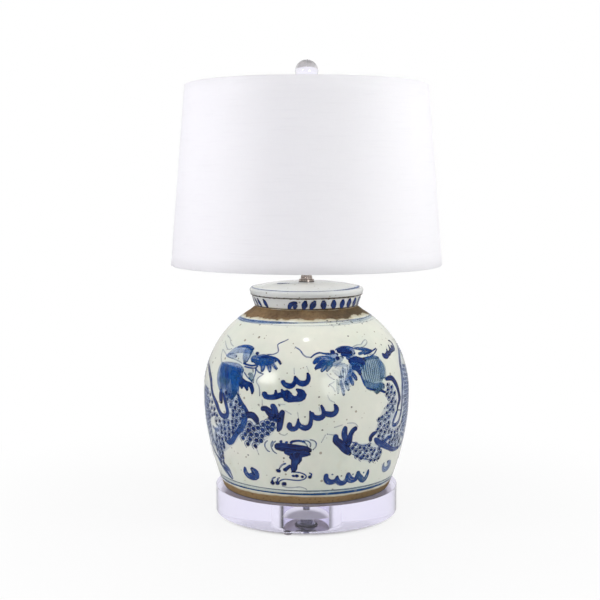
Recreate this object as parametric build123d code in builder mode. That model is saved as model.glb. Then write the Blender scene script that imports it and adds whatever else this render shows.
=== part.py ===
from build123d import *
import os
from math import sqrt

# A table lamp made from a lidded porcelain jar. The jar stands on a clear acrylic disc, one threaded
# pipe clamps disc, jar and lid together, and the pipe carries a turn-knob socket and a wire harp.
# A drum shade hangs on the harp's stud under a clear ball finial. Sizes are in millimetres, Z is up,
# the origin is on the lamp's axis at the height of the table, and the front of the lamp faces -Y.
os.makedirs("parts", exist_ok=True)

# Clearances
nest_gap = 0.1
thread_gap = 0.05
running_gap = 0.05
turn_gap = 0.3
pipe_hole_gap = 0.4

# Acrylic base and its bumper feet
base_diameter = 294.0
base_thickness = 41.5
base_chamfer = 1.2
recess_diameter = 76.0
recess_depth = 20.0
foot_diameter = 12.0
foot_height = 6.0
foot_rounding = 1.8
foot_inset = 12.0
foot_count = 3
first_foot_angle = 258.0

# Threaded pipe and the clamp under the base
pipe_diameter = 10.0
pipe_bore = 7.0
pipe_tail = 3.5
cushion_washer_diameter = 37.0
cushion_washer_thickness = 2.0
base_washer_diameter = 30.0
base_washer_thickness = 1.6
base_nut_flats = 17.0
base_nut_thickness = 6.0
bushing_bore = 5.6
bushing_flange_diameter = 11.0
bushing_flange_thickness = 1.6
bushing_length = 9.0

# Porcelain jar
gasket_width = 11.0
gasket_thickness = 1.0
foot_ring_diameter = 270.0
foot_ring_width = 14.0
foot_ring_height = 6.0
foot_ring_chamfer = 1.5
belly_diameter = 331.0
belly_height = 153.5
shoulder_diameter = 184.0
shoulder_height = 281.0
ledge_diameter = 165.0
ledge_height = 288.5
neck_diameter = 148.0
neck_height = 14.0
jar_wall = 6.0
floor_hole_diameter = 19.0
bush_collar_diameter = 28.0

# Porcelain lid
lid_height = 38.5
lid_neck_gap = 1.5
lid_foot_diameter = 164.0
lid_collar_diameter = 176.8
lid_collar_height = 19.0
rim_lip = 0.6
rim_edge_diameter = 182.0
rim_edge_height = 5.0
rim_height = 11.8
rim_top_diameter = 173.0
lid_wall = 6.0
crown_flat_diameter = 50.0

# Metal stack on the lid
lid_washer_diameter = 25.0
lid_washer_thickness = 1.0
check_flange_diameter = 24.2
check_flange_height = 3.2
check_step_diameter = 18.8
check_step_height = 3.8
check_rounding = 0.9
lock_nut_flats = 15.0
lock_nut_thickness = 4.0

# Harp saddle, harp and sliding sleeves
saddle_width = 13.0
saddle_thickness = 1.6
saddle_bend = 5.0
saddle_arm_height = 14.0
peg_height = 8.0
leg_spacing = 54.0
harp_wire_diameter = 4.0
harp_height = 257.0
harp_width = 114.0
harp_straight_leg = 50.0
harp_shoulder_rise = 45.0
harp_bend_radius = 30.0
harp_top_flat = 16.0
sleeve_wall = 1.5
sleeve_length = 18.0
sleeve_lip = 0.8
sleeve_lip_height = 2.0

# Stud that carries the shade
stud_block_diameter = 12.0
stud_block_drop = 4.0
stud_flange_diameter = 15.0
stud_flange_thickness = 2.0
stud_flange_rise = 4.0
stud_diameter = 6.2
stud_length = 14.0

# Turn-knob socket
cap_neck_diameter = 17.0
cap_neck_height = 6.0
cap_diameter = 36.0
cap_dome_height = 9.0
cap_rim_height = 9.0
cap_wall = 1.0
set_screw_diameter = 3.0
pipe_in_cap = 2.5
shell_length = 54.0
shell_wall = 0.7
shell_lip = 0.9
shell_lip_height = 1.6
liner_wall = 0.9
liner_setback = 1.5
block_height = 24.0
block_setback = 1.5
spindle_height = 12.0
spindle_diameter = 3.4
spindle_depth = 9.0
spindle_slot_gap = 0.9
knob_diameter = 13.0
knob_length = 14.0
knob_standoff = 5.5
knob_grip = 10.0
knob_flutes = 12
flute_diameter = 1.6
screw_shell_wall = 0.6
screw_shell_height = 25.0
contact_diameter = 9.0
contact_thickness = 1.5
terminal_diameter = 5.0
terminal_length = 3.6
terminal_pocket = 7.0
terminal_height = 15.0

# Bulb
bulb_base_diameter = 26.0
bulb_base_height = 21.0
bulb_base_wall = 0.8
bulb_tip_diameter = 8.0
bulb_insulator_height = 4.5
bulb_neck_diameter = 23.6
bulb_neck_height = 5.0
bulb_neck_seat = 4.0
bulb_diameter = 60.0
bulb_shoulder_rise = 50.0
bulb_wall = 1.2

# Drum shade
shade_bottom_diameter = 432.0
shade_top_diameter = 384.0
shade_height = 282.5
shade_cover_wall = 1.0
shade_liner_wall = 0.8
shade_liner_setback = 1.2
ring_wire_diameter = 3.6
ring_setback = 0.6
spider_drop = 12.0
spider_ramp = 32.0
spider_arm_count = 3
first_arm_angle = 90.0
hub_grip = 3.5
hub_thickness = 1.5

# Finial
ferrule_height = 17.0
ferrule_foot_diameter = 15.0
ferrule_foot_height = 2.2
ferrule_waist_diameter = 9.6
ferrule_cup_diameter = 13.0
ferrule_cup_height = 2.0
ball_diameter = 36.6

# Heights along the lamp's axis
z_base = foot_height
z_base_top = z_base + base_thickness
z_recess = z_base + recess_depth
z_cushion_washer = z_recess - cushion_washer_thickness
z_base_washer = z_cushion_washer - base_washer_thickness
z_base_nut = z_base_washer - base_nut_thickness
z_pipe = z_base_nut - pipe_tail
z_jar = z_base_top + gasket_thickness
z_jar_floor = z_jar + foot_ring_height
z_belly = z_jar + belly_height
z_shoulder = z_jar + shoulder_height
z_ledge = z_jar + ledge_height
z_crown = z_ledge + lid_height
z_check_ring = z_crown + lid_washer_thickness
z_lock_nut = z_check_ring + check_flange_height + check_step_height
z_saddle = z_lock_nut + lock_nut_thickness
z_cap = z_saddle + saddle_thickness
z_cap_floor = z_cap + cap_neck_height + cap_wall
z_cap_wall = z_cap + cap_neck_height + cap_dome_height
z_cap_rim = z_cap_wall + cap_rim_height
z_pipe_top = z_cap_floor + pipe_in_cap
z_shell = z_cap_wall
z_shell_top = z_shell + shell_length
z_block = z_shell + block_setback
z_block_top = z_block + block_height
z_spindle = z_block + spindle_height
z_bulb = z_block_top + contact_thickness
z_bulb_base = z_bulb + bulb_insulator_height
z_bulb_neck = z_bulb_base + bulb_base_height - bulb_neck_seat
z_bulb_shoulder = z_bulb_neck + bulb_neck_seat + bulb_neck_height
z_bulb_globe = z_bulb_shoulder + bulb_shoulder_rise
z_arm_top = z_saddle + saddle_arm_height
z_harp = z_arm_top + peg_height
z_harp_top = z_harp + harp_height
z_stud_flange = z_harp_top + stud_flange_rise
z_hub = z_stud_flange + stud_flange_thickness
z_ferrule = z_hub + hub_thickness
z_ball_seat = z_ferrule + ferrule_height
z_shade_top = z_ferrule + spider_drop
z_shade = z_shade_top - shade_height

# Radii that several pieces share
pipe_radius = pipe_diameter / 2
pipe_hole_radius = pipe_radius + pipe_hole_gap
foot_circle_radius = base_diameter / 2 - foot_inset
neck_radius = neck_diameter / 2
lid_bore_radius = neck_radius + lid_neck_gap
cap_radius = cap_diameter / 2
shell_radius = cap_radius - cap_wall - nest_gap
liner_radius = shell_radius - shell_wall - nest_gap
block_radius = liner_radius - liner_wall - nest_gap
screw_shell_bore_radius = bulb_base_diameter / 2 + turn_gap
leg_radius = leg_spacing / 2
wire_radius = harp_wire_diameter / 2
ring_wire_radius = ring_wire_diameter / 2
spindle_radius = spindle_diameter / 2


def keep(piece, name):
    """Label a finished piece and write it to its own file."""
    piece.part.label = name
    export_step(piece.part, f"parts/{name}.step")


def turned_ring(outer_radius, inner_radius, z_bottom, height):
    """A plain washer or tube on the lamp's axis."""
    with BuildPart() as ring:
        with BuildSketch(Plane.XY.offset(z_bottom)):
            Circle(outer_radius)
            Circle(inner_radius, mode=Mode.SUBTRACT)
        extrude(amount=height)
    return ring


def hex_nut(flats, thread_radius, z_bottom, height):
    """A hexagon nut on the lamp's axis."""
    with BuildPart() as nut:
        with BuildSketch(Plane.XY.offset(z_bottom)):
            RegularPolygon(radius=flats / 2, side_count=6, major_radius=False)
            Circle(thread_radius + thread_gap, mode=Mode.SUBTRACT)
        extrude(amount=height)
    return nut


# Acrylic disc, recessed from below for the clamping nut
with BuildPart() as acrylic_base:
    with BuildSketch(Plane.XY.offset(z_base)):
        Circle(base_diameter / 2)
    extrude(amount=base_thickness)
    chamfer(acrylic_base.edges().filter_by(GeomType.CIRCLE), length=base_chamfer)
    with BuildSketch(Plane.XY.offset(z_base)):
        Circle(recess_diameter / 2)
    extrude(amount=recess_depth, mode=Mode.SUBTRACT)
    with BuildSketch(Plane.XY.offset(z_base)):
        Circle(pipe_hole_radius)
    extrude(amount=base_thickness, mode=Mode.SUBTRACT)
keep(acrylic_base, "acrylic_base")

# Three soft bumper feet under the disc
with BuildPart() as bumper_feet:
    with BuildSketch():
        with PolarLocations(foot_circle_radius, foot_count, start_angle=first_foot_angle):
            Circle(foot_diameter / 2)
    extrude(amount=foot_height)
    fillet(bumper_feet.edges().group_by(Axis.Z)[0], radius=foot_rounding)
keep(bumper_feet, "bumper_feet")

# Clamp under the disc: a soft washer against the acrylic, a steel washer and a nut
cushion_washer = turned_ring(
    cushion_washer_diameter / 2, pipe_radius + pipe_hole_gap, z_cushion_washer, cushion_washer_thickness
)
keep(cushion_washer, "cushion_washer")
base_washer = turned_ring(
    base_washer_diameter / 2, pipe_radius + pipe_hole_gap, z_base_washer, base_washer_thickness
)
keep(base_washer, "base_washer")
base_nut = hex_nut(base_nut_flats, pipe_radius, z_base_nut, base_nut_thickness)
keep(base_nut, "base_nut")

# Threaded pipe through the whole lamp, with a bushing where the lead goes in
threaded_pipe = turned_ring(pipe_radius, pipe_bore / 2, z_pipe, z_pipe_top - z_pipe)
keep(threaded_pipe, "threaded_pipe")
with BuildPart() as pipe_bushing:
    with BuildSketch(Plane.XY.offset(z_pipe)):
        Circle(pipe_bore / 2 - nest_gap)
    extrude(amount=bushing_length)
    with BuildSketch(Plane.XY.offset(z_pipe)):
        Circle(bushing_flange_diameter / 2)
    extrude(amount=-bushing_flange_thickness)
    with BuildSketch(Plane.XY.offset(z_pipe - bushing_flange_thickness)):
        Circle(bushing_bore / 2)
    extrude(amount=bushing_flange_thickness + bushing_length, mode=Mode.SUBTRACT)
keep(pipe_bushing, "pipe_bushing")

# Soft ring between the disc and the jar's foot, and the bush that centres the jar on the pipe
gasket_outer_radius = foot_ring_diameter / 2 - foot_ring_chamfer
foot_gasket = turned_ring(
    gasket_outer_radius, gasket_outer_radius - gasket_width, z_base_top, gasket_thickness
)
keep(foot_gasket, "foot_gasket")
with BuildPart() as floor_bush:
    with BuildSketch(Plane.XY.offset(z_base_top)):
        Circle(bush_collar_diameter / 2)
    extrude(amount=z_jar_floor - z_base_top)
    with BuildSketch(Plane.XY.offset(z_jar_floor)):
        Circle(floor_hole_diameter / 2 - nest_gap)
    extrude(amount=jar_wall)
    with BuildSketch(Plane.XY.offset(z_base_top)):
        Circle(pipe_radius + nest_gap)
    extrude(amount=z_jar_floor + jar_wall - z_base_top, mode=Mode.SUBTRACT)
keep(floor_bush, "floor_bush")

# Porcelain jar: a foot ring, a full belly, a shoulder that closes to a bare ledge, and a short neck
with BuildPart() as jar_body:
    with BuildSketch(Plane.XZ):
        with BuildLine():
            foot_edge = (foot_ring_diameter / 2, z_jar + foot_ring_chamfer)
            belly = (belly_diameter / 2, z_belly)
            shoulder = (shoulder_diameter / 2, z_shoulder)
            TangentArc(belly, foot_edge, tangent=(0, -1))
            TangentArc(belly, shoulder, tangent=(0, 1))
            Polyline(
                shoulder,
                (ledge_diameter / 2, z_ledge),
                (neck_radius, z_ledge),
                (neck_radius, z_ledge + neck_height),
                (0, z_ledge + neck_height),
                (0, z_jar),
                (foot_ring_diameter / 2 - foot_ring_chamfer, z_jar),
                foot_edge,
            )
        make_face()
    revolve(axis=Axis.Z)
    with BuildSketch(Plane.XZ):
        with BuildLine():
            inner_belly = (belly_diameter / 2 - jar_wall, z_belly)
            inner_floor = (foot_ring_diameter / 2 - jar_wall, z_jar_floor + jar_wall)
            inner_neck = (neck_radius - jar_wall, z_shoulder)
            TangentArc(inner_belly, inner_floor, tangent=(0, -1))
            TangentArc(inner_belly, inner_neck, tangent=(0, 1))
            Polyline(
                inner_neck,
                (neck_radius - jar_wall, z_ledge + neck_height),
                (0, z_ledge + neck_height),
                (0, z_jar_floor + jar_wall),
                inner_floor,
            )
        make_face()
    revolve(axis=Axis.Z, mode=Mode.SUBTRACT)
    with BuildSketch(Plane.XY.offset(z_jar)):
        Circle(foot_ring_diameter / 2 - foot_ring_width)
    extrude(amount=foot_ring_height, mode=Mode.SUBTRACT)
    with BuildSketch(Plane.XY.offset(z_jar)):
        Circle(floor_hole_diameter / 2)
    extrude(amount=foot_ring_height + jar_wall, mode=Mode.SUBTRACT)
keep(jar_body, "jar_body")

# Porcelain lid: a flared collar that stands on the ledge, a rounded rim over a fine lip, and a low crown
z_collar = z_ledge + lid_collar_height
z_rim_top = z_collar + rim_height
with BuildPart() as jar_lid:
    with BuildSketch(Plane.XZ):
        with BuildLine():
            rim_under = (lid_collar_diameter / 2 + rim_lip, z_collar)
            rim_edge = (rim_edge_diameter / 2, z_collar + rim_edge_height)
            rim_top = (rim_top_diameter / 2, z_rim_top)
            crown_edge = (crown_flat_diameter / 2, z_crown)
            flare = (rim_edge[0] - rim_under[0], rim_edge_height)
            TangentArc(rim_edge, rim_top, tangent=flare)
            TangentArc(crown_edge, rim_top, tangent=(1, 0))
            inner_crown = (crown_flat_diameter / 2, z_crown - lid_wall)
            inner_rim = (lid_bore_radius, z_rim_top - lid_wall)
            TangentArc(inner_crown, inner_rim, tangent=(1, 0))
            Polyline(
                inner_rim,
                (lid_bore_radius, z_ledge),
                (lid_foot_diameter / 2, z_ledge),
                (lid_collar_diameter / 2, z_collar),
                rim_under,
                rim_edge,
            )
            Polyline(
                crown_edge,
                (pipe_hole_radius, z_crown),
                (pipe_hole_radius, z_crown - lid_wall),
                inner_crown,
            )
        make_face()
    revolve(axis=Axis.Z)
keep(jar_lid, "jar_lid")

# Nickel stack on the lid: soft washer, stepped check ring and lock nut
lid_washer = turned_ring(
    lid_washer_diameter / 2, pipe_hole_radius, z_crown, lid_washer_thickness
)
keep(lid_washer, "lid_washer")
with BuildPart() as check_ring:
    with BuildSketch(Plane.XY.offset(z_check_ring)):
        Circle(check_flange_diameter / 2)
    extrude(amount=check_flange_height)
    fillet(check_ring.edges().group_by(Axis.Z)[-1], radius=check_rounding)
    with BuildSketch(Plane.XY.offset(z_check_ring + check_flange_height)):
        Circle(check_step_diameter / 2)
    extrude(amount=check_step_height)
    fillet(check_ring.edges().group_by(Axis.Z)[-1], radius=check_rounding)
    with BuildSketch(Plane.XY.offset(z_check_ring)):
        Circle(pipe_hole_radius)
    extrude(amount=check_flange_height + check_step_height, mode=Mode.SUBTRACT)
keep(check_ring, "check_ring")
lock_nut = hex_nut(lock_nut_flats, pipe_radius, z_lock_nut, lock_nut_thickness)
keep(lock_nut, "lock_nut")

# Harp saddle: a bent strip under the socket with a peg on each arm
with BuildPart() as harp_saddle:
    with BuildSketch(Plane.XZ):
        arm_out = leg_radius + saddle_thickness / 2
        arm_in = leg_radius - saddle_thickness / 2
        with BuildLine():
            FilletPolyline(
                (-arm_out, z_arm_top),
                (-arm_out, z_saddle),
                (arm_out, z_saddle),
                (arm_out, z_arm_top),
                radius=saddle_bend + saddle_thickness,
            )
            FilletPolyline(
                (-arm_in, z_arm_top),
                (-arm_in, z_saddle + saddle_thickness),
                (arm_in, z_saddle + saddle_thickness),
                (arm_in, z_arm_top),
                radius=saddle_bend,
            )
            Line((-arm_out, z_arm_top), (-arm_in, z_arm_top))
            Line((arm_out, z_arm_top), (arm_in, z_arm_top))
        make_face()
    extrude(amount=saddle_width / 2, both=True)
    with BuildSketch(Plane.XY.offset(z_saddle)):
        Circle(pipe_hole_radius)
    extrude(amount=saddle_thickness, mode=Mode.SUBTRACT)
    with BuildSketch(Plane.XY.offset(z_arm_top)):
        with Locations((-leg_radius, 0), (leg_radius, 0)):
            Circle(wire_radius)
    extrude(amount=peg_height)
keep(harp_saddle, "harp_saddle")

# Harp: one length of bent wire from peg to peg, flat at the top for the stud
with BuildPart() as harp_wire:
    with BuildLine(Plane.XZ) as harp_path:
        bow = harp_width / 2
        bend = harp_bend_radius
        z_leg_bend = z_harp + harp_straight_leg
        z_bow = z_leg_bend + harp_shoulder_rise
        top_radius = bow - harp_top_flat / 2
        FilletPolyline(
            (-leg_radius, z_harp),
            (-leg_radius, z_leg_bend),
            (-bow, z_bow),
            (-bow, z_harp_top),
            (bow, z_harp_top),
            (bow, z_bow),
            (leg_radius, z_leg_bend),
            (leg_radius, z_harp),
            radius=[bend, bend, top_radius, top_radius, bend, bend],
        )
    with BuildSketch(Plane.XY.offset(z_harp)):
        with Locations((-leg_radius, 0)):
            Circle(wire_radius)
    sweep(path=harp_path.wires()[0])
keep(harp_wire, "harp_wire")

# Stud on the harp: a block round the wire, a flange under the shade and a threaded end
with BuildPart() as harp_stud:
    with BuildSketch(Plane.XY.offset(z_harp_top - stud_block_drop)):
        Circle(stud_block_diameter / 2)
    extrude(amount=stud_block_drop + stud_flange_rise)
    with BuildSketch(Plane.XY.offset(z_stud_flange)):
        Circle(stud_flange_diameter / 2)
    extrude(amount=stud_flange_thickness)
    with BuildSketch(Plane.XY.offset(z_hub)):
        Circle(stud_diameter / 2)
    extrude(amount=stud_length)
    with BuildSketch(Plane.YZ):
        with Locations((0, z_harp_top)):
            Circle(wire_radius + nest_gap)
    extrude(amount=stud_block_diameter, both=True, mode=Mode.SUBTRACT)
keep(harp_stud, "harp_stud")

# Sleeves that slide over the joints between saddle and harp
for side, name in ((-1, "harp_sleeve_left"), (1, "harp_sleeve_right")):
    with BuildPart() as harp_sleeve:
        sleeve_radius = wire_radius + turn_gap + sleeve_wall
        with BuildSketch(Plane.XY.offset(z_arm_top)):
            with Locations((side * leg_radius, 0)):
                Circle(sleeve_radius)
        extrude(amount=sleeve_length)
        with BuildSketch(Plane.XY.offset(z_arm_top + sleeve_length)):
            with Locations((side * leg_radius, 0)):
                Circle(sleeve_radius + sleeve_lip)
        extrude(amount=-sleeve_lip_height)
        with BuildSketch(Plane.XY.offset(z_arm_top)):
            with Locations((side * leg_radius, 0)):
                Circle(wire_radius + turn_gap)
        extrude(amount=sleeve_length, mode=Mode.SUBTRACT)
    keep(harp_sleeve, name)

# Socket cap: a neck on the pipe, a domed cup and a straight rim
with BuildPart() as socket_cap:
    with BuildSketch(Plane.XZ):
        with BuildLine():
            neck_top = (cap_neck_diameter / 2, z_cap + cap_neck_height)
            cup_floor = (cap_neck_diameter / 2, z_cap_floor)
            TangentArc(neck_top, (cap_radius, z_cap_wall), tangent=(1, 0))
            TangentArc(cup_floor, (cap_radius - cap_wall, z_cap_wall), tangent=(1, 0))
            Polyline(
                (cap_radius, z_cap_wall),
                (cap_radius, z_cap_rim),
                (cap_radius - cap_wall, z_cap_rim),
                (cap_radius - cap_wall, z_cap_wall),
            )
            Polyline(
                neck_top,
                (cap_neck_diameter / 2, z_cap),
                (pipe_radius + thread_gap, z_cap),
                (pipe_radius + thread_gap, z_cap_floor),
                cup_floor,
            )
        make_face()
    revolve(axis=Axis.Z)
    with BuildSketch(Plane.XZ):
        with Locations((0, z_cap + cap_neck_height / 2)):
            Circle(set_screw_diameter / 2 + thread_gap)
    extrude(amount=cap_neck_diameter, mode=Mode.SUBTRACT)
keep(socket_cap, "socket_cap")
with BuildPart() as cap_set_screw:
    with BuildSketch(Plane.XZ.offset(pipe_radius + nest_gap)):
        with Locations((0, z_cap + cap_neck_height / 2)):
            Circle(set_screw_diameter / 2)
    extrude(amount=cap_neck_diameter / 2 - pipe_radius)
keep(cap_set_screw, "cap_set_screw")

# Socket shell and its insulating liner, both slotted for the switch spindle
with BuildPart() as socket_shell:
    with BuildSketch(Plane.XZ):
        with BuildLine():
            Polyline(
                (shell_radius - shell_wall, z_shell),
                (shell_radius, z_shell),
                (shell_radius, z_shell_top - shell_lip_height),
                (shell_radius + shell_lip, z_shell_top - shell_lip_height / 2),
                (shell_radius, z_shell_top),
                (shell_radius - shell_wall, z_shell_top),
                close=True,
            )
        make_face()
    revolve(axis=Axis.Z)
    with BuildSketch(Plane.XZ):
        with Locations((0, z_spindle)):
            Circle(spindle_radius + spindle_slot_gap)
    extrude(amount=cap_diameter, mode=Mode.SUBTRACT)
keep(socket_shell, "socket_shell")
with BuildPart() as socket_liner:
    with BuildSketch(Plane.XY.offset(z_shell)):
        Circle(liner_radius)
        Circle(liner_radius - liner_wall, mode=Mode.SUBTRACT)
    extrude(amount=shell_length - liner_setback)
    with BuildSketch(Plane.XZ):
        with Locations((0, z_spindle)):
            Circle(spindle_radius + spindle_slot_gap)
    extrude(amount=cap_diameter, mode=Mode.SUBTRACT)
keep(socket_liner, "socket_liner")

# Switch block with the spindle's bearing and two terminal pockets
with BuildPart() as switch_block:
    with BuildSketch(Plane.XY.offset(z_block)):
        Circle(block_radius)
    extrude(amount=block_height)
    with BuildSketch(Plane.XZ.offset(block_radius - spindle_depth)):
        with Locations((0, z_spindle)):
            Circle(spindle_radius + running_gap)
    extrude(amount=spindle_depth, mode=Mode.SUBTRACT)
    for side in (-1, 1):
        with BuildSketch(Plane.YZ.offset(side * block_radius)):
            with Locations((0, z_block + terminal_height)):
                Rectangle(terminal_pocket, terminal_pocket)
        extrude(amount=-side * (terminal_length + nest_gap), mode=Mode.SUBTRACT)
keep(switch_block, "switch_block")
with BuildPart() as terminal_screws:
    for side in (-1, 1):
        with BuildSketch(Plane.YZ.offset(side * (block_radius - terminal_length - nest_gap))):
            with Locations((0, z_block + terminal_height)):
                Circle(terminal_diameter / 2)
        extrude(amount=side * (terminal_length - spindle_slot_gap))
keep(terminal_screws, "terminal_screws")

# Screw shell and centre contact that the bulb turns into
screw_shell = turned_ring(
    screw_shell_bore_radius + screw_shell_wall, screw_shell_bore_radius, z_block_top, screw_shell_height
)
keep(screw_shell, "screw_shell")
with BuildPart() as centre_contact:
    with BuildSketch(Plane.XY.offset(z_block_top)):
        Circle(contact_diameter / 2)
    extrude(amount=contact_thickness)
keep(centre_contact, "centre_contact")

# Switch spindle and its fluted knob, which turn together
y_spindle_end = block_radius - spindle_depth + running_gap
y_knob = cap_radius + knob_standoff
with BuildPart() as switch_spindle:
    with BuildSketch(Plane.XZ.offset(y_spindle_end)):
        with Locations((0, z_spindle)):
            Circle(spindle_radius)
    extrude(amount=y_knob + knob_grip - y_spindle_end)
keep(switch_spindle, "switch_spindle")
with BuildPart() as switch_knob:
    with BuildSketch(Plane.XZ.offset(y_knob)):
        with Locations((0, z_spindle)):
            Circle(knob_diameter / 2)
            with PolarLocations(knob_diameter / 2, knob_flutes):
                Circle(flute_diameter / 2, mode=Mode.SUBTRACT)
    extrude(amount=knob_length)
    with BuildSketch(Plane.XZ.offset(y_knob)):
        with Locations((0, z_spindle)):
            Circle(spindle_radius + thread_gap)
    extrude(amount=knob_grip, mode=Mode.SUBTRACT)
keep(switch_knob, "switch_knob")

# Bulb: tip and insulator, screw base and hollow glass
bulb_base_bore = bulb_base_diameter / 2 - bulb_base_wall
with BuildPart() as bulb_insulator:
    with BuildSketch(Plane.XZ):
        with BuildLine():
            Polyline(
                (0, z_bulb),
                (bulb_tip_diameter / 2, z_bulb),
                (bulb_base_bore, z_bulb_base),
                (0, z_bulb_base),
                close=True,
            )
        make_face()
    revolve(axis=Axis.Z)
keep(bulb_insulator, "bulb_insulator")
with BuildPart() as bulb_base:
    with BuildSketch(Plane.XY.offset(z_bulb_base)):
        Circle(bulb_base_diameter / 2)
    extrude(amount=bulb_base_height)
    with BuildSketch(Plane.XY.offset(z_bulb_base + bulb_base_wall)):
        Circle(bulb_base_bore)
    extrude(amount=bulb_base_height - bulb_base_wall, mode=Mode.SUBTRACT)
keep(bulb_base, "bulb_base")
with BuildPart() as bulb_glass:
    for inset, how in ((0.0, Mode.ADD), (bulb_wall, Mode.SUBTRACT)):
        with BuildSketch(Plane.XZ):
            with BuildLine():
                neck_r = bulb_neck_diameter / 2 - inset
                globe_r = bulb_diameter / 2 - inset
                waist = ((neck_r + globe_r) / 2, (z_bulb_shoulder + z_bulb_globe) / 2)
                side_in = TangentArc((neck_r, z_bulb_shoulder), waist, tangent=(0, 1))
                TangentArc(waist, (globe_r, z_bulb_globe), tangent=side_in % 1)
                TangentArc((globe_r, z_bulb_globe), (0, z_bulb_globe + globe_r), tangent=(0, 1))
                Polyline(
                    (0, z_bulb_globe + globe_r),
                    (0, z_bulb_neck),
                    (neck_r, z_bulb_neck),
                    (neck_r, z_bulb_shoulder),
                )
            make_face()
        revolve(axis=Axis.Z, mode=how)
keep(bulb_glass, "bulb_glass")

# Shade cover and its stiff liner, both cone walls
shade_slope = (shade_bottom_diameter - shade_top_diameter) / 2 / shade_height


def shade_radius(z):
    """Outer radius of the shade at a height."""
    return shade_bottom_diameter / 2 - shade_slope * (z - z_shade)


def cone_wall(outer_offset, wall, z_bottom, z_top):
    """A thin cone wall, set in from the shade's outer face."""
    with BuildPart() as cone:
        with BuildSketch(Plane.XZ):
            with BuildLine():
                Polyline(
                    (shade_radius(z_bottom) - outer_offset, z_bottom),
                    (shade_radius(z_top) - outer_offset, z_top),
                    (shade_radius(z_top) - outer_offset - wall, z_top),
                    (shade_radius(z_bottom) - outer_offset - wall, z_bottom),
                    close=True,
                )
            make_face()
        revolve(axis=Axis.Z)
    return cone


liner_offset = shade_cover_wall + nest_gap
ring_offset = liner_offset + shade_liner_wall + nest_gap + ring_wire_radius
shade_cover = cone_wall(0, shade_cover_wall, z_shade, z_shade_top)
keep(shade_cover, "shade_cover")
shade_liner = cone_wall(
    liner_offset, shade_liner_wall, z_shade + shade_liner_setback, z_shade_top - shade_liner_setback
)
keep(shade_liner, "shade_liner")

# Rings that hold the shade's two edges open
z_bottom_ring = z_shade + shade_liner_setback + ring_setback + ring_wire_radius
z_top_ring = z_shade_top - shade_liner_setback - ring_setback - ring_wire_radius
bottom_ring_radius = shade_radius(z_bottom_ring + ring_wire_radius) - ring_offset
top_ring_radius = shade_radius(z_top_ring + ring_wire_radius) - ring_offset
for ring_radius, z_ring, name in (
    (bottom_ring_radius, z_bottom_ring, "bottom_ring"),
    (top_ring_radius, z_top_ring, "top_ring"),
):
    with BuildPart() as edge_ring:
        with BuildSketch(Plane.XZ):
            with Locations((ring_radius, z_ring)):
                Circle(ring_wire_radius)
        revolve(axis=Axis.Z)
    keep(edge_ring, name)

# Spider: a hub on the stud and three arms that rise to the top ring, notched to fit it
z_arm = z_hub + hub_thickness / 2
arm_start = stud_flange_diameter / 2 + ring_wire_radius
with BuildPart() as shade_spider:
    with BuildSketch(Plane.XY.offset(z_hub)):
        Circle(arm_start + hub_grip)
    extrude(amount=hub_thickness)
    for arm in range(spider_arm_count):
        turn = first_arm_angle + arm * 360 / spider_arm_count
        with BuildLine(Plane.XZ.rotated((0, 0, turn))) as arm_path:
            FilletPolyline(
                (arm_start, z_arm),
                (top_ring_radius - spider_ramp, z_arm),
                (top_ring_radius, z_top_ring),
                radius=spider_ramp / 2,
            )
        arm_wire = arm_path.wires()[0]
        with BuildSketch(Plane(arm_wire @ 0, z_dir=arm_wire % 0)):
            Circle(ring_wire_radius)
        sweep(path=arm_wire)
    with BuildSketch(Plane.XZ):
        with Locations((top_ring_radius, z_top_ring)):
            Circle(ring_wire_radius + nest_gap)
    revolve(axis=Axis.Z, mode=Mode.SUBTRACT)
    with BuildSketch(Plane.XY.offset(z_hub)):
        Circle(stud_diameter / 2 + turn_gap)
    extrude(amount=hub_thickness, mode=Mode.SUBTRACT)
keep(shade_spider, "shade_spider")

# Finial: a turned ferrule that screws onto the stud, and a clear ball glued to it
with BuildPart() as finial_ferrule:
    with BuildSketch(Plane.XZ):
        with BuildLine():
            foot_top = (ferrule_foot_diameter / 2, z_ferrule + ferrule_foot_height)
            cup_under = (ferrule_cup_diameter / 2, z_ball_seat - ferrule_cup_height)
            z_waist = (z_ferrule + ferrule_foot_height + z_ball_seat - ferrule_cup_height) / 2
            ThreePointArc(foot_top, (ferrule_waist_diameter / 2, z_waist), cup_under)
            Polyline(
                cup_under,
                (ferrule_cup_diameter / 2, z_ball_seat),
                (0, z_ball_seat),
                (0, z_ferrule),
                (ferrule_foot_diameter / 2, z_ferrule),
                foot_top,
            )
        make_face()
    revolve(axis=Axis.Z)
    with BuildSketch(Plane.XY.offset(z_ferrule)):
        Circle(stud_diameter / 2 + running_gap)
    extrude(amount=stud_length - hub_thickness + turn_gap, mode=Mode.SUBTRACT)
keep(finial_ferrule, "finial_ferrule")

ball_radius = ball_diameter / 2
seat_radius = ferrule_cup_diameter / 2
z_ball = z_ball_seat + sqrt(ball_radius**2 - seat_radius**2)
with BuildPart() as finial_ball:
    with BuildSketch(Plane.XZ):
        with BuildLine():
            ball_side = (ball_radius, z_ball)
            ThreePointArc((seat_radius, z_ball_seat), ball_side, (0, z_ball + ball_radius))
            Polyline((0, z_ball + ball_radius), (0, z_ball_seat), (seat_radius, z_ball_seat))
        make_face()
    revolve(axis=Axis.Z)
keep(finial_ball, "finial_ball")
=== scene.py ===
# %% [markdown]
# # A porcelain table lamp
# The lamp is an old lidded jar, painted in cobalt blue under its glaze, that stands on a clear acrylic
# disc and carries a white drum shade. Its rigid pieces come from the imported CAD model, which loads as a
# fixed frame: nothing in it is moved or reshaped here. This lesson adds what CAD leaves plain, which is
# the brush painting, the cloth of the shade, and the finish of every surface.

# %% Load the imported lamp
import math
import random

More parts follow.
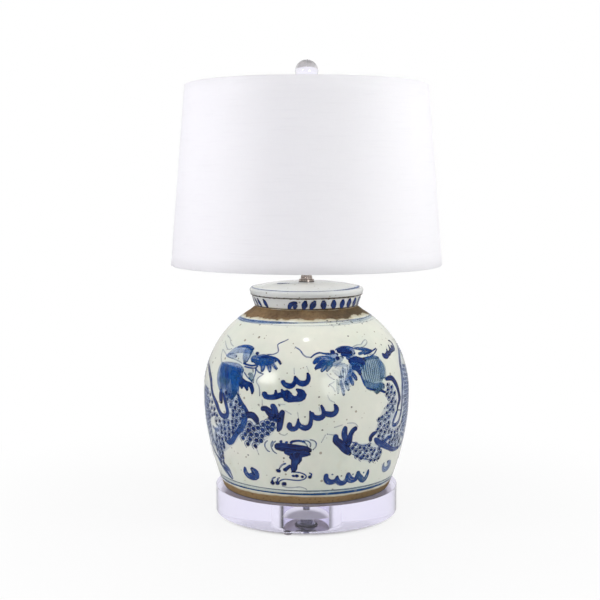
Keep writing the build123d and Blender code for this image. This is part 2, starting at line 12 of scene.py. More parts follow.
import bmesh
import bpy
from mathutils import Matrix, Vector
from mathutils.bvhtree import BVHTree


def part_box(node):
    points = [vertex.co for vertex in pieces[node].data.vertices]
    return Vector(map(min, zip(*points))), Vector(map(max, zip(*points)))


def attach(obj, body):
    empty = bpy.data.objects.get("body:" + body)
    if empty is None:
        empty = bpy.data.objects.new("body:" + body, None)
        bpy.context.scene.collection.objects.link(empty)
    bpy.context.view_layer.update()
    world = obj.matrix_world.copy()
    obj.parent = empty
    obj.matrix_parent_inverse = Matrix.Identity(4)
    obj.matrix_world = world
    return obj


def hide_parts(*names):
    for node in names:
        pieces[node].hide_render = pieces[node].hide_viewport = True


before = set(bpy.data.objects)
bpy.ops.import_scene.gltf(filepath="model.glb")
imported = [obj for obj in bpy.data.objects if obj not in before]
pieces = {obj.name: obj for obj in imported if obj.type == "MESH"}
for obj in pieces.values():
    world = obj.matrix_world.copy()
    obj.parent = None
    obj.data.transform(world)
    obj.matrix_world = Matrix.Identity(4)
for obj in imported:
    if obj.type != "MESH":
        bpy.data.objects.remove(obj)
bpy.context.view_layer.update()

MM = 0.001

# %% [markdown]
# ## The camera
# The photograph was taken from a little above the middle of the lamp, with a longish lens. The values
# below come from fitting the ellipses of the shade, the lid and the base to the picture. The lamp's axis
# stands a few pixels right of the middle. A shifted lens could put it there too, but a tiny turn to the
# left does the same and keeps the lens plain.

# %% Set up the camera
FRAME_PIXELS, FOCAL_PIXELS = 600, 1135
AXIS_PIXELS_RIGHT = 6.5
SENSOR_MM = 36
EYE_PLACE = (0, -1.817, 0.5356)
LOOK_DOWN = math.radians(5.97)
scene = bpy.context.scene
eye = bpy.data.cameras.new("eye")
eye.sensor_width = SENSOR_MM
eye.lens = SENSOR_MM * FOCAL_PIXELS / FRAME_PIXELS
camera = bpy.data.objects.new("camera", eye)
scene.collection.objects.link(camera)
camera.location = EYE_PLACE
camera.rotation_euler = (math.pi / 2 - LOOK_DOWN, 0, math.atan2(AXIS_PIXELS_RIGHT, FOCAL_PIXELS))
scene.camera = camera
scene.view_settings.view_transform = "Standard"
print("lens", round(eye.lens, 1), "mm")

# %% [markdown]
# ## Building finishes from nodes
# A finish is a small graph of nodes, which could be wired by hand in the shader editor. Here a few
# helpers keep it short to write: put adds any node and fills its sockets by name, calc does arithmetic,
# blend and mix_colours mix two values, tint lays a colour over another through a mask, and fade makes a
# soft step. A value that is a socket becomes a link, and anything else is set on the node itself.

# %% Helpers for node graphs
def connect(tree, target, value):
    if isinstance(value, bpy.types.NodeSocket):
        tree.links.new(value, target)
    else:
        target.default_value = value


def put(tree, kind, **values):
    node = tree.nodes.new("ShaderNode" + kind)
    for name, value in values.items():
        if name[0].islower():
            setattr(node, name, value)
        else:
            connect(tree, node.inputs[name.replace("_", " ")], value)
    return node


def calc(tree, operation, first, second, clamp=False):
    node = put(tree, "Math", operation=operation, use_clamp=clamp)
    connect(tree, node.inputs[0], first)
    connect(tree, node.inputs[1], second)
    return node.outputs[0]


def blend(tree, factor, first, second, kind="FLOAT"):
    return put(tree, "Mix", data_type=kind, Factor=factor, A=first, B=second).outputs["Result"]


def mix_colours(tree, factor, first, second):
    return blend(tree, factor, first, second, "RGBA")


def tint(tree, base, mask, share, colour):
    return mix_colours(tree, calc(tree, "MULTIPLY", mask, share), base, colour)


def fade(tree, value, start, end, low=0.0, high=1.0):
    node = put(tree, "MapRange", interpolation_type="SMOOTHSTEP", Value=value)
    for socket, number in zip(node.inputs[1:5], (start, end, low, high)):
        socket.default_value = number
    return node.outputs[0]


def tone(red, green, blue):
    """A colour as it is named on screen, 0 to 255, turned into the linear values that shaders use."""
    linear = [(part / 255 / 12.92) if part <= 10 else ((part / 255 + 0.055) / 1.055) ** 2.4
              for part in (red, green, blue)]
    return (*linear, 1)


def new_finish(name):
    finish = bpy.data.materials.new(name)
    finish.use_nodes = True
    return finish, finish.node_tree, finish.node_tree.nodes["Principled BSDF"]


print("white on screen is", tone(255, 255, 255))

# %% [markdown]
# ## The studio
# The picture has a pure white ground and soft light from both sides: the shade is palest near its left
# and right edges and greyest in the middle. A real set of lamps could be copied, but what counts is the
# light that each surface gets, so the sky shows white to the camera and lights the lamp at a plain level.
# Glass and gloss see a room instead, dark at its left, lighter at its right and light behind and above
# the lamp, and glass also sees a light front. These walls draw the dark bars in the clear disc.

# %% The sky and the room
SKY_LEVEL, GLOSS_SHARE = 0.38, 0.75
ROOM_LEFT, ROOM_RIGHT, ROOM_CEILING, ROOM_FRONT = 0.12, 0.4, 0.8, 0.85
SIDE_WALLS, BACK_WALL, FRONT_WALL, CEILING = (-0.6, 0.6), (0.05, 0.45), (-0.35, -0.8), (0.45, 0.9)
world = bpy.data.worlds.new("studio")
scene.world = world
world.use_nodes = True
tree = world.node_tree
sky = tree.nodes["Background"]
sky.inputs["Color"].default_value = (1, 1, 1, 1)
facing = put(tree, "SeparateXYZ", Vector=put(tree, "TexCoord").outputs["Generated"]).outputs
room = fade(tree, facing["X"], *SIDE_WALLS, ROOM_LEFT, ROOM_RIGHT)
room = blend(tree, fade(tree, facing["Y"], *BACK_WALL), room, 1.0)
room = calc(tree, "MAXIMUM", room, fade(tree, facing["Z"], *CEILING, 0.0, ROOM_CEILING))
front = fade(tree, facing["Y"], *FRONT_WALL, 0.0, ROOM_FRONT)
rays = put(tree, "LightPath").outputs
level = blend(tree, rays["Is Glossy Ray"], SKY_LEVEL, calc(tree, "MULTIPLY", room, GLOSS_SHARE))
level = blend(tree, rays["Is Transmission Ray"], level, calc(tree, "MAXIMUM", room, front))
level = blend(tree, rays["Is Camera Ray"], level, 1.0)
connect(tree, sky.inputs["Strength"], level)
print("sky nodes:", len(tree.nodes))

# %% [markdown]
# Soft boxes light the colours and stay out of reflections: a narrow-beamed one at each side for the
# shade's edges, a fill behind, one low in front, a box at the front left, a lamp above, and a faint glow
# under the shade for daylight that comes through the linen. Two windows and a tiny lamp do the opposite:
# they show only as highlights on the glaze, so they can be placed without changing a colour.

# %% Lamps
COOL, WARM = (0.97, 0.96, 1.0), (1.0, 0.97, 0.94)
ALL_ROUND = 180


def soft_box(name, place, aim, width, height, power, fan=ALL_ROUND, colour=(1, 1, 1)):
    """An area lamp, placed and aimed in metres, with its power in watts and its fan in degrees."""
    lamp = bpy.data.lights.new(name, "AREA")
    lamp.shape, lamp.size, lamp.size_y = "RECTANGLE", width, height
    lamp.energy, lamp.color, lamp.spread = power, colour, math.radians(fan)
    box = bpy.data.objects.new(name, lamp)
    scene.collection.objects.link(box)
    box.location = place
    box.rotation_mode = "QUATERNION"
    box.rotation_quaternion = (Vector(aim) - Vector(place)).to_track_quat("-Z", "Y")
    return box


colour_lamps = [soft_box("left_box", (-1.95, -0.62, 1.1), (0, 0, 0.63), 0.9, 0.9, 2.4, 50, COOL),
                soft_box("right_box", (1.95, -0.58, 1.1), (0, 0, 0.63), 0.9, 0.9, 2.85, 50),
                soft_box("back_fill", (0, 2.4, 1.2), (0, 0, 0.42), 0.9, 0.9, 1.8, 60),
                soft_box("low_fill", (0, -2.3, 0.5), (0, 0, 0.27), 0.9, 0.3, 0.3, 40),
                soft_box("shade_glow", (0, 0, 0.44), (0, 0, 0.3), 0.3, 0.3, 0.26),
                soft_box("front_box", (-1.0, -1.38, 1.12), (0, 0, 0.3), 0.32, 0.32, 2.1),
                soft_box("top_lamp", (0, -0.97, 1.55), (0, 0, 0.28), 0.12, 0.12, 1.2)]
shine_lamps = [soft_box("window", (-1.2, -1.25, 0.86), (-0.05, -0.15, 0.25), 0.5, 0.46, 9.4,
                        ALL_ROUND, WARM),
               soft_box("far_window", (0.907, -1.558, 0.66), (0.042, -0.155, 0.235), 0.9, 0.7, 12.5),
               soft_box("glint", (0, -0.171, 0.452), (0, -0.13, 0.298), 0.016, 0.016, 0.036)]
for box in colour_lamps:
    box.visible_glossy = box.visible_transmission = False
for box in shine_lamps:
    box.visible_diffuse = box.visible_transmission = False
print("lamps for colour:", len(colour_lamps), "and for shine:", len(shine_lamps))

# %% [markdown]
# The floor is a sheet of white paper. The camera sees it as white with a faint shadow near the lamp.
# Through the clear disc it is darker in three places that get little light: in the recess, in a ring
# under the jar, and in a patch behind the disc. A lit floor gives these only roughly, so the finish draws
# them by distance.

# %% Lay the floor
FLOOR_HALF = 8


def make_piece(name, bm, finish):
    """Turns a bmesh into an object of that name, with its place in its mesh."""
    mesh = bpy.data.meshes.new(name)
    bm.to_mesh(mesh)
    bm.free()
    mesh.materials.append(finish)
    piece = bpy.data.objects.new(name, mesh)
    scene.collection.objects.link(piece)
    return piece


paper, tree, glossy_shader = new_finish("white_paper")
tree.nodes.remove(glossy_shader)
bm = bmesh.new()
bmesh.ops.create_grid(bm, x_segments=1, y_segments=1, size=FLOOR_HALF)
floor = make_piece("floor", bm, paper)
print("floor side:", 2 * FLOOR_HALF, "m")

# %% Finish of the floor
SHADOW_SHARE, SHADOW_REACH = 0.13, (0.15, 0.75)
UNDER_DISC, UNDER_JAR, BEHIND_DISC = 0.28, 0.2, 0.3
RECESS_RIM, RING_INNER, RING_OUTER = (0.026, 0.044), (0.06, 0.08), (0.126, 0.146)
PATCH_PLACE, PATCH_RIM = (0, 0.255, 0), (0.02, 0.06)
FLOOR_GLOSS = 0.4
where = put(tree, "TexCoord").outputs["Object"]
distance = put(tree, "VectorMath", operation="LENGTH", Vector=where).outputs["Value"]
patch = put(tree, "VectorMath", operation="DISTANCE", Vector=where)
patch.inputs[1].default_value = PATCH_PLACE
rays = put(tree, "LightPath").outputs
shadow = fade(tree, distance, *SHADOW_REACH, 1 - SHADOW_SHARE, 1.0)
recess = fade(tree, distance, *RECESS_RIM, UNDER_DISC, 1.0)
under_jar = calc(tree, "MAXIMUM", fade(tree, distance, *RING_INNER, 1.0, UNDER_JAR),
                 fade(tree, distance, *RING_OUTER, UNDER_JAR, 1.0))
behind = fade(tree, patch.outputs["Value"], *PATCH_RIM, BEHIND_DISC, 1.0)
behind = blend(tree, rays["Is Transmission Ray"], 1.0, behind)
white_share = calc(tree, "MAXIMUM", rays["Is Camera Ray"], rays["Is Transmission Ray"])
white_share = calc(tree, "MAXIMUM", white_share, calc(tree, "MULTIPLY", rays["Is Glossy Ray"], FLOOR_GLOSS))
for shade_here in (shadow, recess, under_jar, behind):
    white_share = calc(tree, "MULTIPLY", white_share, shade_here)
grain = put(tree, "TexNoise", Vector=where, Scale=3.0, Detail=2.0).outputs["Fac"]
lit = put(tree, "BsdfDiffuse", Color=mix_colours(tree, grain, tone(248, 248, 250), tone(250, 250, 250)))
white = put(tree, "Emission", Color=(1, 1, 1, 1), Strength=1.0)
sheet = put(tree, "MixShader")
for socket, value in zip(sheet.inputs, (white_share, lit.outputs[0], white.outputs[0])):
    connect(tree, socket, value)
connect(tree, tree.nodes["Material Output"].inputs["Surface"], sheet.outputs[0])
print("floor nodes:", len(tree.nodes))

# %% [markdown]
# ## Effects that several finishes share
# Uneven tone, small specks and fine turning lines show up on many of the lamp's materials at different
# sizes. They could be built again in every material, but here each is a node group with named inputs,
# made once. A group hands out only masks and heights, and the shader stays in the material, so every
# finish can decide for itself what to do with them.

# %% Shared node groups
LINE_STRETCH = (0.06, 0.06, 1.0)


def new_group(name, inputs, outputs):
    group = bpy.data.node_groups.new(name, "ShaderNodeTree")
    for label, value in inputs.items():
        socket = group.interface.new_socket(label, in_out="INPUT", socket_type="NodeSocketFloat")
        socket.default_value = value
    for label in outputs:
        group.interface.new_socket(label, in_out="OUTPUT", socket_type="NodeSocketFloat")
    entry = group.nodes.new("NodeGroupInput").outputs
    leave = group.nodes.new("NodeGroupOutput").inputs
    return group, entry, leave


def use_group(tree, group, **values):
    node = tree.nodes.new("ShaderNodeGroup")
    node.node_tree = group
    for name, value in values.items():
        connect(tree, node.inputs[name], value)
    return node.outputs


mottle, entry, leave = new_group("mottle", {"Scale": 20.0, "Low": 0.35, "High": 0.65}, ["Mask"])
where = put(mottle, "TexCoord").outputs["Object"]
cloud = put(mottle, "TexNoise", Vector=where, Scale=entry["Scale"], Detail=4.0, Roughness=0.6)
stretch = put(mottle, "MapRange", Value=cloud.outputs["Fac"])
connect(mottle, stretch.inputs["From Min"], entry["Low"])
connect(mottle, stretch.inputs["From Max"], entry["High"])
connect(mottle, leave["Mask"], stretch.outputs[0])

specks, entry, leave = new_group("specks", {"Scale": 120.0, "Size": 0.12, "Share": 0.3}, ["Mask"])
where = put(specks, "TexCoord").outputs["Object"]
cells = put(specks, "TexVoronoi", Vector=where, Scale=entry["Scale"])
draw = put(specks, "SeparateColor", Color=cells.outputs["Color"]).outputs
chosen = calc(specks, "LESS_THAN", draw[0], entry["Share"])
dot = calc(specks, "LESS_THAN", cells.outputs["Distance"], calc(specks, "MULTIPLY", entry["Size"], draw[1]))
connect(specks, leave["Mask"], calc(specks, "MULTIPLY", dot, chosen))

turned, entry, leave = new_group("turned_lines", {"Scale": 900.0}, ["Lines"])
where = put(turned, "TexCoord").outputs["Object"]
flatten = put(turned, "Mapping", Vector=where)
flatten.inputs["Scale"].default_value = LINE_STRETCH
lines = put(turned, "TexNoise", Vector=flatten.outputs[0], Scale=entry["Scale"], Detail=2.0)
connect(turned, leave["Lines"], lines.outputs["Fac"])
print("groups:", [group.name for group in (mottle, specks, turned)])

# %% [markdown]
# ## Metals
# The check ring, the lock nut and the harp are nickel plated, the washers and nut under the base are
# zinc plated steel, and the contacts are brass. All were turned or rolled, so fine lines run round
# them. Modelled lines would be finer than a pixel, so one group drives both their bump and their uneven
# roughness, and mottling dulls them a little where plating has aged.

# %% Metal finishes
LINE_ROUGHNESS, LINE_DEPTH = 0.14, 0.2


def metal_finish(name, bright, dull, roughness, line_scale):
    finish, tree, shader = new_finish(name)
    age = use_group(tree, mottle, Scale=90.0, Low=0.3, High=0.7)["Mask"]
    lines = use_group(tree, turned, Scale=line_scale)["Lines"]
    connect(tree, shader.inputs["Base Color"], mix_colours(tree, age, bright, dull))
    shader.inputs["Metallic"].default_value = 1.0
    rough = calc(tree, "ADD", calc(tree, "MULTIPLY", lines, LINE_ROUGHNESS), roughness)
    connect(tree, shader.inputs["Roughness"], rough)
    bump = put(tree, "Bump", Strength=0.15, Distance=LINE_DEPTH * MM, Height=lines)
    connect(tree, shader.inputs["Normal"], bump.outputs[0])
    return finish


nickel = metal_finish("nickel", tone(210, 198, 190), tone(164, 151, 143), 0.06, 1400.0)
zinc = metal_finish("zinc_steel", tone(176, 178, 186), tone(128, 130, 140), 0.30, 900.0)
brass = metal_finish("contact_brass", tone(214, 178, 98), tone(176, 136, 66), 0.24, 1200.0)
print("metals:", nickel.name, zinc.name, brass.name)

# %% [markdown]
# ## Rubber, plastics and card
# Cushions and feet are soft rubber, the switch is moulded phenolic, the pipe bushing is nylon, the
# socket is lined with card, and the shade's wire frame is coated white. They have no metal in them, so
# they differ by colour, roughness and a fine grain. Each could have a graph of its own, but one function
# makes them all and keeps their differences easy to compare.

# %% Moulded finishes
GRAIN_ROUGHNESS = 0.12


def moulded_finish(name, light, dark, roughness, grain_scale, grain_depth):
    finish, tree, shader = new_finish(name)
    patchy = use_group(tree, mottle, Scale=60.0, Low=0.3, High=0.7)["Mask"]
    grain = use_group(tree, mottle, Scale=grain_scale, Low=0.2, High=0.8)["Mask"]
    connect(tree, shader.inputs["Base Color"], mix_colours(tree, patchy, light, dark))
    rough = calc(tree, "ADD", calc(tree, "MULTIPLY", grain, GRAIN_ROUGHNESS), roughness)
    connect(tree, shader.inputs["Roughness"], rough)
    bump = put(tree, "Bump", Strength=0.3, Distance=grain_depth * MM, Height=grain)
    connect(tree, shader.inputs["Normal"], bump.outputs[0])
    return finish


grey_rubber = moulded_finish("grey_rubber", tone(84, 80, 82), tone(66, 62, 64), 0.62, 900.0, 0.2)
feet_rubber = moulded_finish("bumper_rubber", tone(196, 192, 196), tone(172, 168, 174), 0.30, 700.0, 0.1)
nylon = moulded_finish("nylon", tone(226, 224, 214), tone(208, 204, 192), 0.42, 800.0, 0.1)
phenolic = moulded_finish("black_phenolic", tone(34, 30, 28), tone(22, 20, 20), 0.28, 500.0, 0.1)
card = moulded_finish("insulating_card", tone(150, 128, 98), tone(126, 104, 76), 0.82, 1500.0, 0.2)
white_wire = moulded_finish("white_wire", tone(238, 237, 234), tone(228, 226, 222), 0.34, 600.0, 0.1)
styrene = moulded_finish("styrene_liner", tone(244, 243, 240), tone(236, 234, 230), 0.46, 1100.0, 0.1)
moulded = (grey_rubber, feet_rubber, nylon, phenolic, card, white_wire, styrene)
print("moulded finishes:", len(moulded))

# %% [markdown]
# ## Clear acrylic and frosted glass
# The disc and the ball are cast acrylic, which bends light about as much as glass. A see-through alpha
# would be quicker, but only full transmission shows the recess, the washers and the nut bent through the
# disc as the photograph has them. A slight lilac tint sits in the colour. The bulb is glass frosted
# inside, so it is rough to light all over.

# %% Clear finishes
SCUFF_ROUGHNESS, POLISHED, FROSTED = 0.08, 0.004, 0.55
ACRYLIC_BEND, GLASS_BEND = 1.49, 1.45


def clear_finish(name, clear, clouded, roughness, bend):
    finish, tree, shader = new_finish(name)
    haze = use_group(tree, mottle, Scale=14.0, Low=0.3, High=0.7)["Mask"]
    scuffs = use_group(tree, specks, Scale=260.0, Size=0.10, Share=0.04)["Mask"]
    connect(tree, shader.inputs["Base Color"], mix_colours(tree, haze, clear, clouded))
    worn = calc(tree, "MULTIPLY", scuffs, SCUFF_ROUGHNESS)
    connect(tree, shader.inputs["Roughness"], calc(tree, "ADD", worn, roughness))
    shader.inputs["Transmission Weight"].default_value = 1.0
    shader.inputs["IOR"].default_value = bend
    return finish


disc_acrylic = clear_finish("clear_acrylic", tone(236, 233, 250), tone(230, 226, 248),
                            POLISHED, ACRYLIC_BEND)
ball_acrylic = clear_finish("clear_ball", tone(248, 247, 254), tone(243, 241, 252), POLISHED, ACRYLIC_BEND)
frosted = clear_finish("frosted_glass", tone(250, 249, 246), tone(246, 245, 240), FROSTED, GLASS_BEND)
print("clear finishes:", disc_acrylic.name, ball_acrylic.name, frosted.name)

# %% [markdown]
# ## Glazed porcelain
# The glaze is a greyish off-white with a hint of green. It is full of small faults: iron specks, pits,
# yellow stains near them, and slow waves that bend the reflections. It stops short of the foot and of
# the shoulder ring, where the bare clay fired brown. Colours stored on the mesh would be too coarse for
# specks, so all of it is noise in the finish. The borders are given in millimetres above the table and
# wander with noise, as a dipped glaze does.

# %% Where the glaze ends
BORDER_SOFT, SCORCH_REACH = 0.8, 5
WANDERS = ((11.0, 22 * MM), (60.0, 10 * MM))
FOOT_WANDER = 0.35


def bare_masks(tree, where, bare_below, bare_above):
    """Masks of the bare foot, of all bare clay, and of the scorched glaze beside it."""
    border = low_border = put(tree, "SeparateXYZ", Vector=where).outputs["Z"]
    for noise_scale, reach in WANDERS:
        wander = put(tree, "TexNoise", Vector=where, Scale=noise_scale, Detail=3.0).outputs["Fac"]
        wander = calc(tree, "MULTIPLY", calc(tree, "SUBTRACT", wander, 0.5), reach)
        border = calc(tree, "ADD", border, wander)
        low_border = calc(tree, "ADD", low_border, calc(tree, "MULTIPLY", wander, FOOT_WANDER))
    foot = fade(tree, low_border, (bare_below + BORDER_SOFT) * MM, (bare_below - BORDER_SOFT) * MM)
    shoulder = fade(tree, border, (bare_above - BORDER_SOFT) * MM, (bare_above + BORDER_SOFT) * MM)
    scorch = calc(tree, "MAXIMUM",
                  fade(tree, low_border, (bare_below + SCORCH_REACH) * MM, bare_below * MM),
                  fade(tree, border, (bare_above - SCORCH_REACH) * MM, bare_above * MM))
    return foot, calc(tree, "MAXIMUM", foot, shoulder), scorch


print("glaze borders wander by up to", round(sum(reach for _, reach in WANDERS) / 2 / MM), "mm")

# %% Colours of glaze and clay
# Where the painted shade on the right side of the bare clay starts, and how strong it is.
RIGHT_SHADE_SIDE, RIGHT_SHADE_WANDER = (0.04, 0.085), 0.015
RIGHT_SHADE_AT_SHOULDER, RIGHT_SHADE_AT_FOOT = 0.7, 0.4


def glaze_colour(tree, warm, cool, fine, scorch):
    """The glaze with its stains and specks, and a mask of the specks that are large enough to be pits."""
    slow = use_group(tree, mottle, Scale=9.0, Low=0.35, High=0.65)["Mask"]
    stains = use_group(tree, mottle, Scale=17.0, Low=0.62, High=0.82)["Mask"]
    tiny = use_group(tree, specks, Scale=170.0, Size=0.24, Share=0.26)["Mask"]
    small = use_group(tree, specks, Scale=95.0, Size=0.22, Share=0.3)["Mask"]
    large = use_group(tree, specks, Scale=38.0, Size=0.17, Share=0.2)["Mask"]
    glaze = mix_colours(tree, slow, warm, cool)
    for mask, share, colour in ((fine, 0.25, tone(206, 208, 200)), (stains, 0.4, tone(204, 196, 160)),
                                (scorch, 0.6, tone(186, 168, 122)), (tiny, 0.6, tone(132, 118, 92)),
                                (small, 0.65, tone(128, 112, 84)), (large, 0.7, tone(112, 96, 74))):
        glaze = tint(tree, glaze, mask, share, colour)
    return glaze, calc(tree, "MAXIMUM", small, large)


def clay_colour(tree, where, fine, foot):
    """Bare clay, patchy and gritty, paler at the foot, and darker towards the right with painted shade."""
    patches = use_group(tree, mottle, Scale=34.0, Low=0.42, High=0.62)["Mask"]
    grit = use_group(tree, mottle, Scale=240.0, Low=0.56, High=0.66)["Mask"]
    clay = mix_colours(tree, patches, tone(126, 100, 70), tone(84, 65, 46))
    clay = tint(tree, clay, fine, 0.5, tone(146, 123, 90))
    clay = tint(tree, clay, foot, 0.6, tone(170, 140, 94))
    # Painted shade: the bare clay gets darker towards the right side, more at the shoulder than at the foot.
    sideways = put(tree, "SeparateXYZ", Vector=where).outputs["X"]
    sideways = calc(tree, "ADD", sideways, calc(tree, "MULTIPLY", patches, RIGHT_SHADE_WANDER))
    right_shade_share = fade(tree, foot, 0.0, 1.0, RIGHT_SHADE_AT_SHOULDER, RIGHT_SHADE_AT_FOOT)
    clay = tint(tree, clay, fade(tree, sideways, *RIGHT_SHADE_SIDE), right_shade_share, tone(72, 64, 46))
    return tint(tree, clay, grit, 0.6, tone(70, 54, 36))


# Where the painted shade on the right of the bare clay begins.
print("soot starts", RIGHT_SHADE_SIDE[0] / MM, "mm right of the middle")

# %% Porcelain finish
GLAZE_ROUGHNESS, CLAY_ROUGHNESS, GLAZE_SHINE = 0.13, 0.85, 0.3
WAVE_STRENGTH, WAVE_DEPTH = 0.22, 0.9 * MM
PIT_DEPTH, CLAY_GRAIN = -0.6, 1.5
BARE_FOOT_TOP, BARE_SHOULDER, LID_BARE_EDGE, ABOVE_ALL = 60, 326, 338, 900


def glaze_waves(tree):
    """Height of the glaze's slow waves, shared with the painting under it."""
    return use_group(tree, mottle, Scale=26.0, Low=0.2, High=0.8)["Mask"]


def porcelain_finish(name, bare_below, bare_above, warm, cool):
    finish, tree, shader = new_finish(name)
    where = put(tree, "TexCoord").outputs["Object"]
    fine = use_group(tree, mottle, Scale=70.0, Low=0.3, High=0.75)["Mask"]
    foot, bare, scorch = bare_masks(tree, where, bare_below, bare_above)
    glaze, pits = glaze_colour(tree, warm, cool, fine, scorch)
    clay = clay_colour(tree, where, fine, foot)
    connect(tree, shader.inputs["Base Color"], mix_colours(tree, bare, glaze, clay))
    connect(tree, shader.inputs["Roughness"], fade(tree, bare, 0.0, 1.0, GLAZE_ROUGHNESS, CLAY_ROUGHNESS))
    shader.inputs["Specular IOR Level"].default_value = GLAZE_SHINE
    pits = calc(tree, "MULTIPLY", calc(tree, "MULTIPLY", pits, PIT_DEPTH), calc(tree, "SUBTRACT", 1.0, bare))
    grain = calc(tree, "MULTIPLY", calc(tree, "MULTIPLY", bare, fine), CLAY_GRAIN)
    rise = calc(tree, "ADD", calc(tree, "ADD", glaze_waves(tree), pits), grain)
    bump = put(tree, "Bump", Strength=WAVE_STRENGTH, Distance=WAVE_DEPTH, Height=rise)
    connect(tree, shader.inputs["Normal"], bump.outputs[0])
    return finish


jar_porcelain = porcelain_finish("glazed_porcelain", BARE_FOOT_TOP, BARE_SHOULDER,
                                 tone(231, 230, 217), tone(221, 226, 212))
lid_porcelain = porcelain_finish("lid_porcelain", LID_BARE_EDGE, ABOVE_ALL,
                                 tone(228, 228, 226), tone(219, 222, 222))
print("glaze runs from", BARE_FOOT_TOP, "to", BARE_SHOULDER, "mm")

# %% [markdown]
# ## Dressing the CAD pieces
# Every CAD piece came with a named slot that says what it is made of. Its finish could be set piece by
# piece, but one list of slots dresses them all, and only the clear ball and the lid need finishes of
# their own.

# %% Give the CAD pieces their finishes
FINISH_OF_SLOT = {
    "bumper_rubber": feet_rubber, "grey_rubber": grey_rubber, "zinc_steel": zinc, "nylon": nylon,
    "nickel": nickel, "insulating_card": card, "black_phenolic": phenolic, "contact_brass": brass,
    "frosted_glass": frosted, "styrene_liner": styrene, "white_wire": white_wire,
    "clear_acrylic": disc_acrylic, "glazed_porcelain": jar_porcelain,
}
FINISH_OF_PIECE = {"finial_ball": ball_acrylic, "jar_lid": lid_porcelain}
for name, piece in pieces.items():
    for holder in piece.material_slots:
        holder.material = FINISH_OF_PIECE.get(name) or FINISH_OF_SLOT.get(holder.material.name, styrene)
print("dressed", len(pieces), "CAD pieces")

# %% [markdown]
# ## The clear disc
# The disc is turned from a thick sheet of cast acrylic, drilled for the pipe, counterbored from below for
# the nut, and polished until its edges are only just not sharp. The CAD disc has a wider bevel that bends
# light into dark lines, which the photograph doesn't show. A bevel modifier can't make it narrower, so
# the outline is spun again here with a hair's breadth of bevel, and its top stays a twentieth of a
# millimetre under the gasket, because rubber that only lies on acrylic leaves air between them.

# %% Lathe the disc
DISC_RADIUS, DISC_BOTTOM, DISC_TOP = 147, 6, 47.45
RECESS_RADIUS, RECESS_ROOF, PIPE_HOLE = 38, 26, 5.4
POLISH = 0.2
DISC_STEPS, CREASE = 240, math.radians(30)
disc_outline = [(PIPE_HOLE, RECESS_ROOF), (RECESS_RADIUS, RECESS_ROOF), (RECESS_RADIUS, DISC_BOTTOM),
                (DISC_RADIUS - POLISH, DISC_BOTTOM), (DISC_RADIUS, DISC_BOTTOM + POLISH),
                (DISC_RADIUS, DISC_TOP - POLISH), (DISC_RADIUS - POLISH, DISC_TOP), (PIPE_HOLE, DISC_TOP)]
bm = bmesh.new()
corners = [bm.verts.new((radius * MM, 0, height * MM)) for radius, height in disc_outline]
for corner, following in zip(corners, corners[1:] + corners[:1]):
    bm.edges.new((corner, following))
bmesh.ops.spin(bm, geom=bm.verts[:] + bm.edges[:], axis=(0, 0, 1), angle=2 * math.pi, steps=DISC_STEPS,
               use_merge=True)
bmesh.ops.remove_doubles(bm, verts=bm.verts[:], dist=0.001 * MM)
bmesh.ops.recalc_face_normals(bm, faces=bm.faces[:])
for face in bm.faces:
    face.smooth = True
for edge in bm.edges:
    edge.smooth = edge.calc_face_angle(0) < CREASE
disc = make_piece("clear_disc", bm, disc_acrylic)
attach(disc, "stand")
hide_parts("acrylic_base")
print("clear_disc has", len(disc.data.polygons), "faces")

# %% [markdown]
# ## Painting with a brush
# The painter worked on the dry jar with a soft brush and cobalt, then glazed over it. Each stroke here
# is a thin ribbon: a grid that is bent along a smooth path through a few given points and laid on
# the jar's own surface. A point is written as the painter would measure it on the jar: degrees round
# from the front, height above the table in millimetres, and the brush's width there in millimetres.
# Strokes could also be drawn in the material, but ribbons keep crisp lines from any distance.

# %% Surfaces to paint on
OUTSIDE, OVERHEAD = 0.5, 1
BELLY_HEIGHT = 202


class Wall:
    """The outside of a turned piece, where a place is degrees round and height in mm."""

    def __init__(self, piece):
        shell = bmesh.new()
        shell.from_mesh(piece.data)
        self.skin = BVHTree.FromBMesh(shell)
        shell.free()

    def place(self, degrees, height):
        turn = math.radians(degrees)
        outward = Vector((math.sin(turn), -math.cos(turn), 0))
        start = outward * OUTSIDE + Vector((0, 0, height * MM))
        return self.skin.ray_cast(start, -outward)[:2]

    def nearest(self, point):
        return self.place(math.degrees(math.atan2(point.x, -point.y)), point.z / MM)


class Top(Wall):
    """The top of a turned piece, where a place is degrees round and radius in mm."""

    def place(self, degrees, radius):
        turn = math.radians(degrees)
        start = Vector((math.sin(turn), -math.cos(turn), 0)) * radius * MM + Vector((0, 0, OVERHEAD))
        return self.skin.ray_cast(start, Vector((0, 0, -1)))[:2]

    def nearest(self, point):
        return self.place(math.degrees(math.atan2(point.x, -point.y)), point.to_2d().length / MM)


jar_wall = Wall(pieces["jar_body"])
belly_spot, outward = jar_wall.place(0, BELLY_HEIGHT)
print("jar radius at the belly:", round(-belly_spot.y / MM, 1), "mm, facing", outward.to_tuple(2))

# %% [markdown]
# A stroke's path runs smoothly through its points, so three or four points make a curl. Every ribbon
# stores how much cobalt it holds, how near each place is to the stroke's edge, and its hue, so that one
# material can paint them all with soft, streaky edges. Ribbons lie a fraction of a millimetre over the
# surface, each at its own level, so that crossing strokes don't share a plane.

# %% The path of a stroke
STEP_MM = 3.2
MM_PER_DEGREE = 2.7


